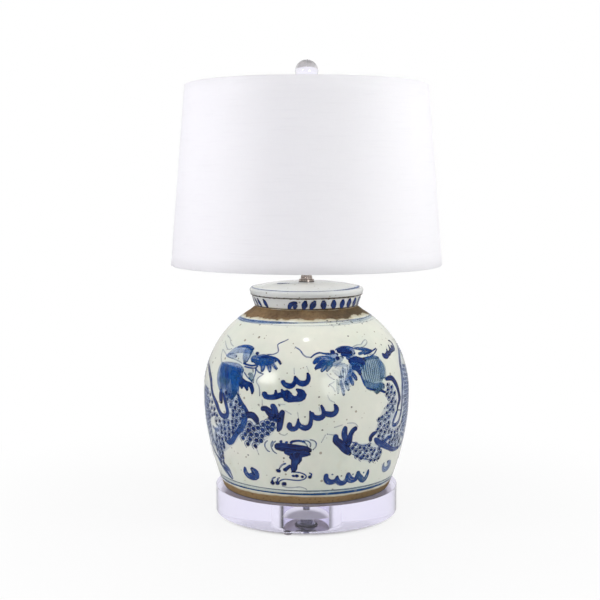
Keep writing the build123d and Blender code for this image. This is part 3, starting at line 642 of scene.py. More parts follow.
def smooth_path(points):
    """Points on a smooth line through hand-placed points of (degrees, height, width)."""
    knots = [Vector(point) for point in (points[0], *points, points[-1])]
    path = []
    for before, start, end, after in zip(knots, knots[1:], knots[2:], knots[3:]):
        reach = math.hypot((end.x - start.x) * MM_PER_DEGREE, end.y - start.y)
        count = max(2, round(reach / STEP_MM))
        for step in range(count):
            t = step / count
            path.append(0.5 * (2 * start + (end - before) * t
                               + (2 * before - 5 * start + 4 * end - after) * t ** 2
                               + (3 * start - before - 3 * end + after) * t ** 3))
    return path + [knots[-1]]


print("a quarter turn takes", len(smooth_path([(0, 200, 5), (90, 200, 5)])), "points")

# %% The brush
SOFT_MM, BLEED = 2.6, 1.25
LOWEST_LIFT, LIFT_STEP, LIFTS = 0.10, 0.02, 12
TIP_REACH, TIP_WIDTH, COLUMN_MM = 0.32, 0.5, 7
DAB_CORNERS, DAB_WOBBLE = 10, 0.12
GRAIN_SHIFT, ALONG_SCALE, ACROSS_SCALE = 9, 0.01, 10
PAINT_BODY = 0.5


class Painting:
    """A set of brush strokes on one surface, gathered in one mesh."""

    def __init__(self, name, surface):
        self.name, self.surface = name, surface
        self.bm = bmesh.new()
        self.ink = self.bm.verts.layers.float_color.new("ink")
        self.brush = self.bm.loops.layers.uv.new("brush")
        self.count = 0
        self.rng = random.Random(name)

    def next_stroke(self):
        """Height of the next stroke over the surface, and where its streaks start."""
        self.count += 1
        return (LOWEST_LIFT + LIFT_STEP * (self.count % LIFTS)) * MM, self.rng.random() * GRAIN_SHIFT

    def stroke(self, points, strength, hue=0.0):
        """A ribbon along a smooth path, with a short tip at each end."""
        path = smooth_path(points)
        spots = [self.surface.place(p.x, p.y) for p in path]
        ways = [(spots[min(i + 1, len(spots) - 1)][0] - spots[max(i - 1, 0)][0]).normalized()
                for i in range(len(spots))]
        rows = [(spot, normal.cross(way), p.z * BLEED * MM)
                for (spot, normal), way, p in zip(spots, ways, path)]
        for end, way in ((0, -ways[0]), (len(rows), ways[-1])):
            spot, side, width = rows[min(end, len(rows) - 1)]
            rows.insert(end, (spot + way * width * TIP_REACH, side, width * TIP_WIDTH))
        widest = max(p.z for p in path) * BLEED
        columns = 2 * max(2, math.ceil(widest / COLUMN_MM))
        lift, seed = self.next_stroke()
        grid = bmesh.ops.create_grid(self.bm, x_segments=len(rows) - 1, y_segments=columns, size=1)
        where = {}
        for vert in grid["verts"]:
            row, side = round((vert.co.x + 1) / 2 * (len(rows) - 1)), vert.co.y
            spot, across, width = rows[row]
            rim = (1 - abs(side)) * width / 2
            edge = 1.0 if row in (0, len(rows) - 1) else max(0.0, 1 - rim / min(SOFT_MM * MM, width / 2))
            vert[self.ink] = (strength, edge, hue, 1)
            where[vert] = (row * STEP_MM * ALONG_SCALE + seed, side * width / 2 * ACROSS_SCALE + seed)
            spot, normal = self.surface.nearest(spot + across * side * width / 2)
            vert.co = spot + normal * lift
        self.label(grid["verts"], where)

    def dab(self, degrees, height, wide, tall, strength, hue=0.0, tilt=0.0):
        """A round touch of the brush, so many mm wide and tall, tilted by degrees."""
        spot, normal = self.surface.place(degrees, height)
        east = Vector((0, 0, 1)).cross(normal).normalized()
        up = normal.cross(east)
        lean = math.radians(tilt)
        lift, seed = self.next_stroke()
        disc = bmesh.ops.create_circle(self.bm, cap_ends=True, cap_tris=True, segments=DAB_CORNERS, radius=1)
        where = {}
        for vert in disc["verts"]:
            edge = min(1.0, vert.co.length)
            wobble = 1 + self.rng.uniform(-DAB_WOBBLE, DAB_WOBBLE)
            x = vert.co.x * wide / 2 * BLEED * MM * wobble
            y = vert.co.y * tall / 2 * BLEED * MM * wobble
            vert[self.ink] = (strength, edge, hue, 1)
            where[vert] = (x * ACROSS_SCALE + seed, y * ACROSS_SCALE + seed)
            shift = (east * (x * math.cos(lean) - y * math.sin(lean))
                     + up * (x * math.sin(lean) + y * math.cos(lean)))
            place, normal = self.surface.nearest(spot + shift)
            vert.co = place + normal * lift
        self.label(disc["verts"], where)

    def label(self, verts, where):
        """Writes the brush's own coordinates, along and across, to the new faces."""
        for face in {face for vert in verts for face in vert.link_faces}:
            for loop in face.loops:
                loop[self.brush].uv = where[loop.vert]

    def hang(self, finish):
        """Turns the strokes into a piece of the lamp."""
        for face in self.bm.faces:
            face.smooth = True
        for edge in self.bm.edges:
            edge.smooth = not edge.is_boundary
        outward = sum((face.normal.dot(face.calc_center_median()) > 0) for face in self.bm.faces)
        if outward * 2 < len(self.bm.faces):
            bmesh.ops.reverse_faces(self.bm, faces=self.bm.faces[:])
        piece = make_piece(self.name, self.bm, finish)
        body = piece.modifiers.new("body", "SOLIDIFY")
        body.thickness, body.offset = PAINT_BODY * MM, -1
        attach(piece, "stand")
        print(self.name, "has", self.count, "strokes and", len(piece.data.polygons), "faces")


print("strokes lie", LOWEST_LIFT, "to", LOWEST_LIFT + LIFT_STEP * (LIFTS - 1), "mm over the glaze")

# %% [markdown]
# ## Cobalt under the glaze
# Thick cobalt fires to a deep blue that is nearly black in its pools, and thin washes stay a greyish
# blue, some with a hint of green. Each tone could be a material, but one is enough: it reads a stroke's
# strength and edge, adds streaks along the brush and cloudy pools, and fades out through alpha. Its gloss
# and waves are the glaze's own, because the glaze lies over it. The far end of the hue scale is iron
# brown, for scorched edges and specks.

# %% Cobalt finish
STREAK_SCALE = (7, 60, 1)
cobalt, tree, shader = new_finish("cobalt")
ink = put(tree, "SeparateColor", Color=put(tree, "Attribute", attribute_name="ink").outputs["Color"])
strength, edge, hue = ink.outputs
drag = put(tree, "Mapping", Vector=put(tree, "UVMap", uv_map="brush").outputs[0])
drag.inputs["Scale"].default_value = STREAK_SCALE
streaks = put(tree, "TexNoise", Vector=drag.outputs[0], Scale=1.0, Detail=2.0).outputs["Fac"]
pools = use_group(tree, mottle, Scale=130.0, Low=0.25, High=0.75)["Mask"]
ragged = calc(tree, "ADD", edge, calc(tree, "MULTIPLY", calc(tree, "SUBTRACT", streaks, 0.5), 0.5))
cover = fade(tree, ragged, 1.0, 0.6)
uneven = 0.5
for mask, share in ((fade(tree, streaks, 0.3, 0.7), 0.34), (pools, 0.34),
                    (fade(tree, edge, 0.1, 0.6), 0.1)):
    uneven = calc(tree, "ADD", calc(tree, "MULTIPLY", mask, share), uneven)
depth = calc(tree, "MULTIPLY", strength, uneven, clamp=True)
blue = mix_colours(tree, fade(tree, depth, 0.2, 0.7), tone(44, 120, 202), tone(18, 52, 122))
blue = mix_colours(tree, fade(tree, depth, 0.62, 0.98), blue, tone(3, 11, 60))
green_blue = mix_colours(tree, depth, tone(84, 142, 164), tone(16, 58, 100))
blue = mix_colours(tree, fade(tree, hue, 0.0, 0.5), blue, green_blue)
blue = mix_colours(tree, fade(tree, hue, 0.6, 0.9), blue, tone(92, 74, 50))
connect(tree, shader.inputs["Base Color"], blue)
alpha = calc(tree, "MULTIPLY", cover, fade(tree, depth, -0.05, 0.8), clamp=True)
connect(tree, shader.inputs["Alpha"], alpha)
shader.inputs["Roughness"].default_value = GLAZE_ROUGHNESS
shader.inputs["Specular IOR Level"].default_value = GLAZE_SHINE
bump = put(tree, "Bump", Strength=WAVE_STRENGTH, Distance=WAVE_DEPTH, Height=glaze_waves(tree))
connect(tree, shader.inputs["Normal"], bump.outputs[0])
print("cobalt nodes:", len(tree.nodes))

# %% [markdown]
# ## Scales, lines and rings
# The painter repeats a few small figures. A scale is a dark dot with a thin line round it and bare glaze
# between, a limb carries staggered rows of small scales, a whisker is a line of even width, and a ring
# line is drawn while the jar turns on the wheel. All could be placed stroke by stroke, but each is a
# short function, so the dragons below stay readable.

# %% Repeated figures
DOT_WIDE, DOT_TALL, ARC_REACH, ARC_WIDTH, ARC_SHARE = 1.4, 1.32, 1.05, 1.5, 0.56
ARC_TURNS = (-1.9, -0.95, 0.0, 0.95, 1.9)
SMALL_SCALE, SCALE_PITCH, ROW_PITCH = 4.4, 1.8, 0.82
LIMB_WASH, LIMB_HUE = 0.12, 0.12
FULL_TURN, RING_SWELL = range(-180, 181, 15), 0.3
IRON_BROWN = 0.95


def scales(paint, places, size, lean, strength=0.97):
    """Scales at spots of (degrees, height), each a dot with an arc round the side that it leans to."""
    reach = size * ARC_REACH
    for degrees, height in places:
        paint.dab(degrees, height, size * DOT_WIDE, size * DOT_TALL, strength)
        paint.stroke([(degrees + reach / MM_PER_DEGREE * math.cos(lean + turn),
                       height + reach * math.sin(lean + turn), ARC_WIDTH) for turn in ARC_TURNS],
                     strength * ARC_SHARE)


def scaly(paint, spine, strength):
    """Staggered rows of small scales that cover a limb, along a spine of (degrees, height, width)."""
    paint.stroke(spine, LIMB_WASH, LIMB_HUE)
    pitch = SMALL_SCALE * SCALE_PITCH
    gone, rows = 0.0, 0
    path = smooth_path(spine)
    for here, there in zip(path, path[1:]):
        way = Vector(((there.x - here.x) * MM_PER_DEGREE, there.y - here.y))
        gone += way.length
        if gone < pitch * ROW_PITCH:
            continue
        gone -= pitch * ROW_PITCH
        rows += 1
        across = Vector((-way.y, way.x)).normalized()
        count = max(1, round(here.z / pitch))
        shifts = [(place - (count - 1) / 2 + 0.5 * (rows % 2) - 0.25) * pitch for place in range(count)]
        spots = [(here.x + across.x * shift / MM_PER_DEGREE, here.y + across.y * shift) for shift in shifts]
        scales(paint, spots, SMALL_SCALE, math.atan2(way.y, way.x), strength)


def line(paint, places, width, strength, hue=0.0):
    """A stroke of even width."""
    paint.stroke([(degrees, height, width) for degrees, height in places], strength, hue)


def ring(paint, height, width, strength, hue=0.0, drift=0.0):
    """A line right round the jar, that drifts up and down by so many mm."""
    paint.stroke([(turn, height + drift * math.sin(math.radians(turn)),
                   width * (1 + RING_SWELL * math.sin(math.radians(3 * turn)))) for turn in FULL_TURN],
                 strength, hue)


print("a ring line has", len(FULL_TURN), "points")

# %% [markdown]
# ## The left dragon
# Its head faces the middle with an open mouth, the mane hangs behind it as a dark block of hair, and the
# scaly body drops from the neck, sends out a foreleg with a clawed foot, and leaves round the left side
# of the jar. It could be one flat picture wrapped round, but strokes laid one by one follow the jar and
# overlap as real ones do. Washes go down first, then the scales, then the outlines.

# %% Head of the left dragon
left = Painting("left_dragon", jar_wall)
left.stroke([(-54, 270, 5), (-50.5, 276, 9), (-46, 280, 11), (-40, 281.5, 11), (-36, 280, 9)], 0.36)
left.stroke([(-38.6, 282, 11), (-38, 274, 13), (-37.6, 266, 10)], 0.36)
left.stroke([(-55, 269, 5), (-51, 269.5, 8), (-46.5, 269.5, 7)], 0.28)
left.stroke([(-46, 274, 14), (-42, 272, 16), (-39, 269, 12)], 0.1)
left.stroke([(-48, 283, 3), (-43, 285.4, 4.6), (-38.4, 285.6, 5.4), (-35.2, 283, 6.4)], 0.62)
left.stroke([(-35.2, 284, 4), (-35, 278, 3), (-35.6, 270, 2.4), (-36.2, 265, 2)], 0.5)
left.stroke([(-35.4, 279, 6), (-33.2, 272, 9), (-31, 267, 9)], 0.26, 0.35)
left.stroke([(-33, 270.5, 8), (-29, 269, 14), (-25, 269, 16), (-21, 269.5, 12), (-18.4, 269.5, 7)], 0.6)
left.stroke([(-28, 266, 8), (-25, 268, 11), (-22, 271, 9)], 0.5)
left.stroke([(-27, 273, 3), (-22.5, 274, 4), (-18.4, 272.6, 3.8), (-16, 269.5, 3.6), (-14.9, 266, 4.8)],
            0.82)
for drop in ([(-25.6, 265, 7), (-24.8, 259.5, 7), (-24.9, 254.5, 5)],
             [(-22.6, 266, 7), (-21.2, 260, 7), (-20.5, 254.8, 5.4)],
             [(-20.2, 267, 6), (-18.5, 262.5, 5), (-17, 258.6, 5.6)]):
    left.stroke(drop, 0.56)
left.dab(-30.8, 277.5, 6.5, 5.5, 0.95)
left.dab(-32.5, 266.6, 6.5, 5.2, 0.95)
line(left, [(-24.5, 274), (-23.5, 277), (-20, 278), (-17.5, 281), (-17.5, 285), (-18.6, 291), (-17, 294),
            (-14, 297), (-12.5, 299)], 2, 0.6)
line(left, [(-38.5, 262), (-35, 260.2), (-31.5, 260), (-28.5, 262.5), (-25.5, 265)], 3, 0.78)
line(left, [(-37, 257.5), (-33, 256.5), (-30, 256.8), (-28.4, 259.5)], 2.4, 0.62)
line(left, [(-28.8, 262), (-29, 256), (-27, 251.5), (-24.3, 249.5)], 2.4, 0.64)
line(left, [(-27.2, 262), (-26, 258), (-25.6, 252)], 2, 0.5)
line(left, [(-24.5, 248), (-27, 243), (-27.5, 237), (-26, 232), (-25.2, 225), (-25, 218)], 1.9, 0.42)
for horn in ([(-70, 295), (-62, 292), (-57, 286), (-53, 283)],
             [(-66, 287), (-60, 280), (-56, 277), (-53, 279)],
             [(-63, 275), (-58, 271.5), (-54, 267.5), (-45, 265), (-40, 262)],
             [(-63, 275), (-61, 265), (-58, 258)]):
    line(left, horn, 1.9, 0.36, 0.3)
print("head strokes so far:", left.count)

# %% Mane and jaw of the left dragon
left.stroke([(-47.8, 254, 46), (-48, 247, 51), (-48, 238, 50), (-46.5, 228, 40), (-43.5, 219, 26)],
            0.46, 0.1)
left.stroke([(-57, 256, 4), (-52, 257, 6.5), (-46, 257.4, 7.5), (-41.5, 255.5, 9), (-38.4, 251, 9)], 0.42)
for lock in range(14):
    top, foot = -56.6 + 1.32 * lock, -53.5 + 1.16 * lock
    bold = 0.5 + 0.07 * ((lock * 5) % 7)
    left.stroke([(top, 256, 1.8), (top + 0.2, 247, 2.8), ((top + foot) / 2, 236, 2.6),
                 (foot, 221 - 0.3 * lock, 1.6)], bold)
left.stroke([(-56, 249, 8), (-51, 247, 13), (-46, 247, 13), (-41, 245, 11)], 0.5)
left.stroke([(-45.5, 244, 12), (-42, 240, 17), (-38.6, 237, 14)], 0.56)
left.stroke([(-54, 241, 7), (-48, 241, 8), (-42, 239, 9)], 0.42)
left.stroke([(-43, 238, 12), (-41.5, 229, 15), (-41.5, 220, 12)], 0.5)
left.stroke([(-55, 234, 8), (-50, 231, 9), (-47, 232, 6)], 0.3, 0.5)
left.stroke([(-38, 255, 6), (-35, 251, 9), (-31.5, 252, 9)], 0.14, 0.35)
left.stroke([(-33, 248, 5), (-31.4, 245, 8), (-30.5, 240.5, 5.5)], 0.5, 0.4)
line(left, [(-36.4, 249), (-34, 243.5), (-31.6, 239.4), (-30, 236.6)], 2.2, 0.62)
line(left, [(-29.4, 256), (-29, 250), (-29.5, 243), (-29.4, 236)], 2, 0.56)
left.stroke([(-42, 238, 11), (-38, 235, 12), (-34.5, 233, 9), (-31, 233, 7)], 0.8)
for lobe in ([(-37.5, 232, 7), (-36.6, 227.5, 6)], [(-34, 231, 7), (-33, 225.5, 6)],
             [(-31, 233, 7), (-29.7, 226, 6.5), (-29.6, 221, 5)]):
    left.stroke(lobe, 0.84)
print("strokes so far:", left.count)

# %% Body of the left dragon
left.stroke([(-45, 214, 20), (-42.5, 205, 26), (-40, 192, 28), (-39.5, 180, 28), (-43, 167, 32),
             (-47, 155, 34), (-53, 145, 36), (-57, 135, 32), (-60, 124, 26), (-61, 112, 16)], 0.2, 0.1)
scales(left, [(-47.8, 215), (-44.8, 213), (-46.6, 205.5), (-43.4, 208), (-44, 198), (-39.8, 204),
              (-40.6, 195), (-37.4, 201), (-35.2, 197), (-42.4, 189.5), (-37.5, 191), (-39.5, 184.5),
              (-35.2, 185), (-42.4, 182), (-36.8, 179), (-40.1, 175), (-43.2, 172), (-37.7, 167.5),
              (-40.8, 167), (-43, 163)], 4.8, -0.4)
scales(left, [(-46.6, 169), (-50, 168), (-46.4, 159.5), (-50.2, 158), (-43.5, 155), (-46.6, 150.5),
              (-50.2, 150.5), (-53.7, 150), (-47, 143), (-50.2, 143), (-54, 139.5), (-57.3, 139.5),
              (-53.5, 132.5), (-56.8, 129.5), (-60.8, 142), (-60.9, 132.5), (-53.5, 126.5), (-57, 123.5),
              (-60.5, 123), (-63.6, 125), (-56.5, 116), (-60, 115), (-63, 117), (-60, 107),
              (-53.5, 158.5), (-57, 108), (-58, 100), (-61.5, 99)], 5, 2.6)
scales(left, [(-57.3, 175), (-59.5, 184.5), (-62.5, 194), (-65.2, 204), (-63.2, 184), (-60.2, 176),
              (-63.2, 172.5), (-66, 177), (-66.4, 193), (-69, 205), (-69.5, 184), (-67, 168),
              (-58.5, 166), (-54.5, 168)], 4.8, 1.9, 0.88)
left.stroke([(-64, 154, 5), (-60, 151, 6), (-57, 153, 5), (-56.5, 159, 4), (-59, 161, 4)], 0.5)
left.stroke([(-52.5, 218, 6), (-52.6, 209, 9), (-52.2, 200, 9)], 0.9)
left.stroke([(-50.5, 213, 4), (-49, 205, 7), (-47.7, 196, 7), (-46.8, 187, 7), (-47.5, 180, 8),
             (-50, 177.5, 8), (-53, 179.5, 8), (-55, 185, 8), (-56.5, 192, 9), (-58.5, 198, 8),
             (-61, 205, 7), (-63, 213, 7), (-64.5, 222, 8), (-66.5, 229, 8), (-70, 236, 8), (-75, 243, 7),
             (-84, 248, 7), (-92, 250, 6)], 0.86)
left.stroke([(-38.8, 216, 4), (-37.6, 209, 6), (-36, 203, 6), (-34, 197, 6), (-32.6, 190, 7),
             (-32.2, 186, 8)], 0.88)
left.stroke([(-33.5, 185, 8), (-31.5, 187, 9), (-29, 186.5, 10), (-27, 181, 9), (-26.4, 176, 6)], 0.96)
left.stroke([(-33.6, 184, 8), (-34.6, 177, 9), (-35.6, 170, 9), (-37.5, 163, 9), (-39.5, 158, 8)], 0.72)
left.stroke([(-38.5, 160, 8), (-41, 154, 8), (-43, 147, 8), (-45, 140.5, 8), (-48, 136.5, 7),
             (-50.5, 138.5, 5)], 0.8)
print("strokes so far:", left.count)

# %% Foreleg, claw and tail of the left dragon
left.stroke([(-36, 154, 18), (-31, 158, 34), (-25, 163, 26), (-18, 172, 14)], 0.15, 0.1)
scales(left, [(-31.2, 172), (-29, 166.5), (-26.2, 168.5), (-23.6, 166), (-20.4, 170.5), (-23, 174.5),
              (-20.5, 178), (-17.6, 176.5), (-18.2, 168), (-20.8, 161), (-24, 156.8), (-27.2, 158),
              (-30.6, 157), (-27.6, 148.6), (-24.8, 148.6), (-31.6, 149.2), (-34.5, 156), (-33.4, 140.6),
              (-28.6, 139.2), (-32.2, 163), (-36.4, 149)], 5.4, 2.3)
left.stroke([(-23.6, 198.5, 7), (-21.5, 199, 8), (-19.5, 194, 10), (-17.5, 189, 11)], 0.94)
left.stroke([(-17.8, 205, 7), (-16.8, 200, 9), (-16.3, 193, 10), (-16.3, 187, 11)], 0.84)
left.stroke([(-12.2, 196.5, 7), (-13, 190, 9), (-13.6, 180, 9), (-14.2, 171, 8), (-14.8, 167, 5)], 0.94)
left.stroke([(-19.5, 186.5, 7), (-17, 186, 10), (-14.5, 184, 9)], 0.94)
for wisp in ([(-23.5, 212), (-23.4, 204)], [(-11, 198), (-8, 193)], [(-14, 162), (-11.5, 160), (-10, 163)],
             [(-28, 136), (-27, 127)], [(-11, 207), (-14.5, 207)]):
    line(left, wisp, 1.7, 0.32)
for fin in ([(-66, 106, 4), (-63.5, 97, 6), (-61, 90, 7), (-57.5, 82, 6), (-54, 75, 2.4)],
            [(-59, 97, 4), (-56.5, 93.5, 9), (-54, 89, 8), (-52.5, 82, 4), (-52, 76, 2)],
            [(-60.5, 92, 4), (-58, 87, 6), (-55.5, 81, 5), (-53, 74.5, 2)]):
    left.stroke(fin, 0.66)
scaly(left, [(-73, 216, 22), (-73.5, 195, 30), (-73.6, 170, 32), (-71, 148, 26), (-67, 128, 16)], 0.62)
left.stroke([(-62, 101, 5), (-67.5, 107, 6), (-73, 120, 7), (-78, 140, 7), (-80, 165, 7), (-80, 190, 7),
             (-82, 208, 7), (-87, 220, 7), (-94, 227, 7), (-102, 229, 6)], 0.74)
left.hang(cobalt)

# %% [markdown]
# ## The right dragon
# It answers the left one across the clouds: a dark snout and brow, a pale face with a combed beard, a
# striped mane, and a body that curls behind the mane and comes forward again in a low foreleg with a
# raised claw. A mirrored copy of the left one would be shorter, but the painter drew two different animals.

# %% Head of the right dragon
right = Painting("right_dragon", jar_wall)
right.stroke([(4.2, 267, 5), (6.5, 271, 9), (9.5, 271.5, 11), (13, 270, 12), (15.5, 270, 8)], 0.54, 0.06)
right.stroke([(4.3, 266.6, 4.4), (6, 271, 5), (8, 273.5, 4)], 0.6)
right.stroke([(10, 268, 9), (7.4, 263.5, 8), (5.3, 259.8, 5.5)], 0.7)
right.stroke([(11.5, 267, 9), (9.7, 260.5, 8), (8.5, 256, 5)], 0.58, 0.15)
right.stroke([(13.5, 266, 9), (12.5, 261, 7), (11.4, 256, 4)], 0.5, 0.25)
right.stroke([(2.5, 274.5, 2.2), (5, 279, 2.8), (7.8, 281.2, 3), (10.5, 279.8, 3), (14.5, 279, 3.6)],
             0.76, 0.1)
line(right, [(-7, 289), (-4, 285), (-2, 279), (0, 275.5), (2.8, 275)], 2.2, 0.58)
right.stroke([(12, 277, 6), (15, 275, 9), (18, 277.5, 7)], 0.44, 0.06)
right.stroke([(13, 266, 9), (17, 268, 11), (21, 273, 7)], 0.36, 0.25)
right.dab(16, 281.6, 7.5, 7.5, 0.97)
right.dab(18.4, 272.6, 7, 6.5, 0.97)
right.stroke([(19.6, 282, 7), (21.6, 283.6, 9), (24.5, 282, 12), (26.8, 280, 9)], 0.95)
right.stroke([(21.5, 278, 6), (24.5, 277, 7), (27.5, 276.6, 5)], 0.88)
right.stroke([(26, 286, 5), (28.4, 283.5, 8), (29.4, 278.5, 7)], 0.54)
line(right, [(18, 284), (20.4, 287.4), (24, 288.4), (28, 287.4), (30.3, 285)], 2.2, 0.6)
right.stroke([(24.4, 273, 6), (27, 271.5, 9), (30.4, 270.5, 8)], 0.58, 0.05)
right.stroke([(25.5, 268, 7), (29, 266, 14), (33, 265.5, 13), (35, 267, 9)], 0.88)
right.stroke([(26, 262, 8), (29, 259, 12), (32.4, 258, 9)], 0.42)
right.stroke([(27, 258.5, 7), (29.8, 256, 9), (30.6, 249, 6)], 0.8)
right.stroke([(31, 284.5, 3.5), (35, 283.5, 6), (39, 281.5, 6), (43, 279.5, 4)], 0.66, 0.12)
right.stroke([(33, 276.5, 5), (37, 278, 5), (41, 278.3, 4)], 0.66, 0.15)
line(right, [(36, 270.5), (40.5, 271), (44.5, 274), (48.5, 279.6)], 2.1, 0.72)
line(right, [(36.5, 275), (41, 276.3), (45, 279), (48, 281)], 2.3, 0.8)
line(right, [(30, 286.5), (34, 289), (37, 289), (40, 293), (42.8, 295), (43.2, 291.5), (40, 287),
             (36.5, 285)], 1.8, 0.38, 0.3)
right.stroke([(16.5, 264, 7), (20, 260, 12), (24, 255, 10)], 0.15, 0.1)
right.dab(20.6, 256, 4.6, 9, 0.42, 0.12, -8)
right.stroke([(25.8, 254, 8), (24, 246, 10), (22, 238, 8)], 0.34, 0.1)
right.stroke([(20, 250, 7), (18.4, 243, 8), (17.6, 237, 6)], 0.16, 0.4)
for wash in ([(24.5, 262, 6), (25.5, 254, 10), (24.8, 245, 12), (22.5, 237, 9)],
             [(17, 262, 4), (20, 264, 6), (23, 262, 5)],
             [(19.5, 246, 8), (19.5, 236, 9), (20, 227, 5)],
             [(14.5, 256, 4), (17, 252, 6), (19, 247, 5)]):
    right.stroke(wash, 0.17, 0.1)
for comb in range(6):
    line(right, [(26.4 - 1.5 * comb, 262 - 1.5 * comb), (26 - 1.4 * comb, 254 - 2 * comb),
                 (25 - 1.2 * comb, 246 - 2.5 * comb)], 1.8, 0.36, 0.1)
for drop, strength, hue in (([(16.3, 243, 3), (16.8, 234, 5), (16.6, 224, 4)], 0.26, 0.4),
                            ([(18.6, 241, 3), (19.1, 231, 5.5), (19.6, 221, 5)], 0.44, 0.2),
                            ([(21.2, 240, 4), (21.8, 233, 6), (22.4, 227.5, 5)], 0.42, 0.25),
                            ([(24, 245, 5), (25, 238, 6), (25.2, 234.5, 5)], 0.56, 0.1),
                            ([(26, 250, 5), (27.2, 244.5, 6), (27.6, 241.5, 5)], 0.66, 0.05)):
    right.stroke(drop, strength, hue)
for wisp in ([(12, 236), (14, 232), (15, 226)], [(11, 252), (13, 246), (15, 243)], [(15, 240), (12.2, 236)],
             [(15.5, 252), (17, 248), (20, 246)], [(16, 259), (18, 263), (22, 265)]):
    line(right, wisp, 1.7, 0.26, 0.1)
print("head strokes so far:", right.count)

# %% Mane and body of the right dragon
right.stroke([(41, 267, 28), (40.6, 258, 44), (40.4, 247, 44), (39.8, 236, 38), (41, 227, 24)], 0.4, 0.42)
right.stroke([(35, 268, 4), (39, 269, 5), (43, 270, 5.4), (46.4, 268, 5)], 0.5, 0.2)
for bar in range(10):
    right.stroke([(34.6 + 1.32 * bar, 267 + 0.15 * bar, 1.4), (33.6 + 1.5 * bar, 256, 2.2),
                  (33.4 + 1.42 * bar, 245, 2), (34.5 + 1.2 * bar, 235, 1.4)], 0.52 - 0.012 * bar, 0.25)
right.stroke([(46, 268, 7), (47.2, 258, 11), (46.8, 248, 11), (45.5, 240, 8)], 0.32, 0.12)
right.stroke([(32.6, 237, 7), (35.5, 230.5, 9), (40, 227, 10), (45, 226, 11)], 0.46, 0.2)
right.stroke([(33.5, 227.5, 2.4), (38.5, 222.5, 3), (43, 220.3, 3.4), (46.5, 216.5, 4.5)], 0.92)
right.stroke([(30.6, 251, 3), (31.4, 241, 3), (32.6, 231, 3)], 0.7)
right.stroke([(50.5, 222, 14), (53, 212, 18), (53, 200, 20), (51.5, 188, 24), (48, 177, 26),
              (46, 166, 26), (48, 154, 32), (53, 145, 34), (58, 137, 32), (64, 131, 22)], 0.2, 0.15)
scales(right, [(49.4, 227), (48.9, 219.5), (52.5, 222), (48, 213), (51.8, 214), (55, 212), (49.6, 207),
               (53.2, 204), (51.7, 199.5), (55.8, 198), (48.7, 195), (52.9, 192), (50.7, 187.5),
               (54, 185.5), (47.8, 184), (50, 178), (44.5, 179), (46.9, 174), (43.1, 169), (41.8, 177),
               (50, 168), (46.7, 164.5), (41.6, 161.5), (49.4, 161.5), (44.2, 158)], 4.2, -1.2)
scales(right, [(47.4, 154.5), (42.7, 150), (51.4, 154), (46, 147.5), (54.3, 150.5), (57.6, 149.5),
               (60.8, 152), (63.2, 155.5), (46.7, 140), (53.4, 143), (57.9, 142), (61.2, 143),
               (56.3, 137), (59.4, 135.5), (62.8, 136.3), (56.5, 128), (61, 127), (53.4, 134.5),
               (66.3, 168), (65.5, 161.3), (66, 148), (65.5, 130)], 4.2, -0.5)
right.stroke([(48.5, 235.5, 5), (51, 236, 7), (54, 235, 8), (56, 230, 8), (58, 222, 8), (59.5, 212, 7),
              (60.6, 203, 8), (60.6, 198, 8), (58.8, 190, 6), (58.3, 184, 5)], 0.94)
right.stroke([(58.3, 183, 4), (57.3, 179, 6), (55.6, 172, 6), (54.3, 165, 5), (55.2, 161.5, 6),
              (57.5, 160.8, 6), (60.5, 163.5, 6), (62.5, 171, 6), (63.8, 182, 6), (64.2, 195, 7),
              (64.8, 210, 7), (66, 224, 7), (67.6, 238, 8), (69.2, 250, 8), (72, 258, 7), (76, 265, 7),
              (84, 275, 6), (94, 280, 5)], 0.66)
line(right, [(58.5, 184.5), (61, 182), (63.6, 181)], 2.4, 0.6)
right.stroke([(37, 145, 6), (36.8, 150, 7), (38.5, 155, 7), (40.5, 156.5, 5)], 0.92)
right.stroke([(40, 147, 5), (41.5, 143, 8), (45, 137, 9), (49, 132, 9), (53, 127, 8), (57, 122, 7),
              (61, 119.5, 7), (66, 118.5, 6)], 0.76)
right.stroke([(48.5, 138, 7), (51, 143.5, 6), (54, 143, 5)], 0.7)
scaly(right, [(76, 250, 24), (74, 225, 30), (72.6, 200, 32), (72.4, 175, 32), (72.6, 150, 30),
              (70, 130, 20)], 0.62)
right.stroke([(66, 118.5, 5), (72, 121, 6), (77, 131, 7), (80, 150, 7), (80.5, 175, 7), (80.5, 200, 7),
              (82, 225, 7), (86, 243, 7), (92, 254, 7), (102, 260, 6)], 0.72)
print("strokes so far:", right.count)

# %% Foreleg and claw of the right dragon
right.stroke([(26, 138, 14), (30, 132, 20), (35, 128, 24), (41, 123, 24), (45, 119, 16)], 0.16, 0.15)
scales(right, [(27.2, 142), (25.7, 137), (27.9, 132), (30.2, 136.5), (33.2, 134.5), (30.8, 128),
               (35, 129.5), (33.5, 122), (36.4, 137.5), (38.2, 130), (36.4, 120), (39.7, 122),
               (40.8, 128), (31.9, 118.5), (39.3, 112.5), (42.2, 111.5), (43.5, 119.5), (44.6, 128.8),
               (46, 122.5), (45.3, 112.5), (29, 123)], 4.1, 2.6)
line(right, [(25, 147), (28, 143.5), (31, 140), (35, 139.5)], 1.8, 0.55)
line(right, [(26, 127.5), (30, 121.5), (34, 117), (38, 114)], 1.8, 0.55)
right.stroke([(15.6, 159, 7), (15.8, 152, 10), (18.5, 145, 11), (21.5, 137, 12), (24, 129, 8)], 0.95)
right.stroke([(20.8, 171, 6), (20.3, 164, 8.5), (20.6, 156, 9), (22, 149, 9)], 0.84, 0.06)
right.stroke([(27, 167.5, 7), (25.6, 166, 7), (24, 159, 7.5), (23.3, 150, 9), (22.8, 143, 9)], 0.92)
for wisp in ([(19, 175), (15, 172)], [(28, 170), (26, 176), (22, 177)],
             [(15, 160), (11, 162)], [(10, 161), (8, 150)]):
    line(right, wisp, 1.7, 0.32)
right.hang(cobalt)

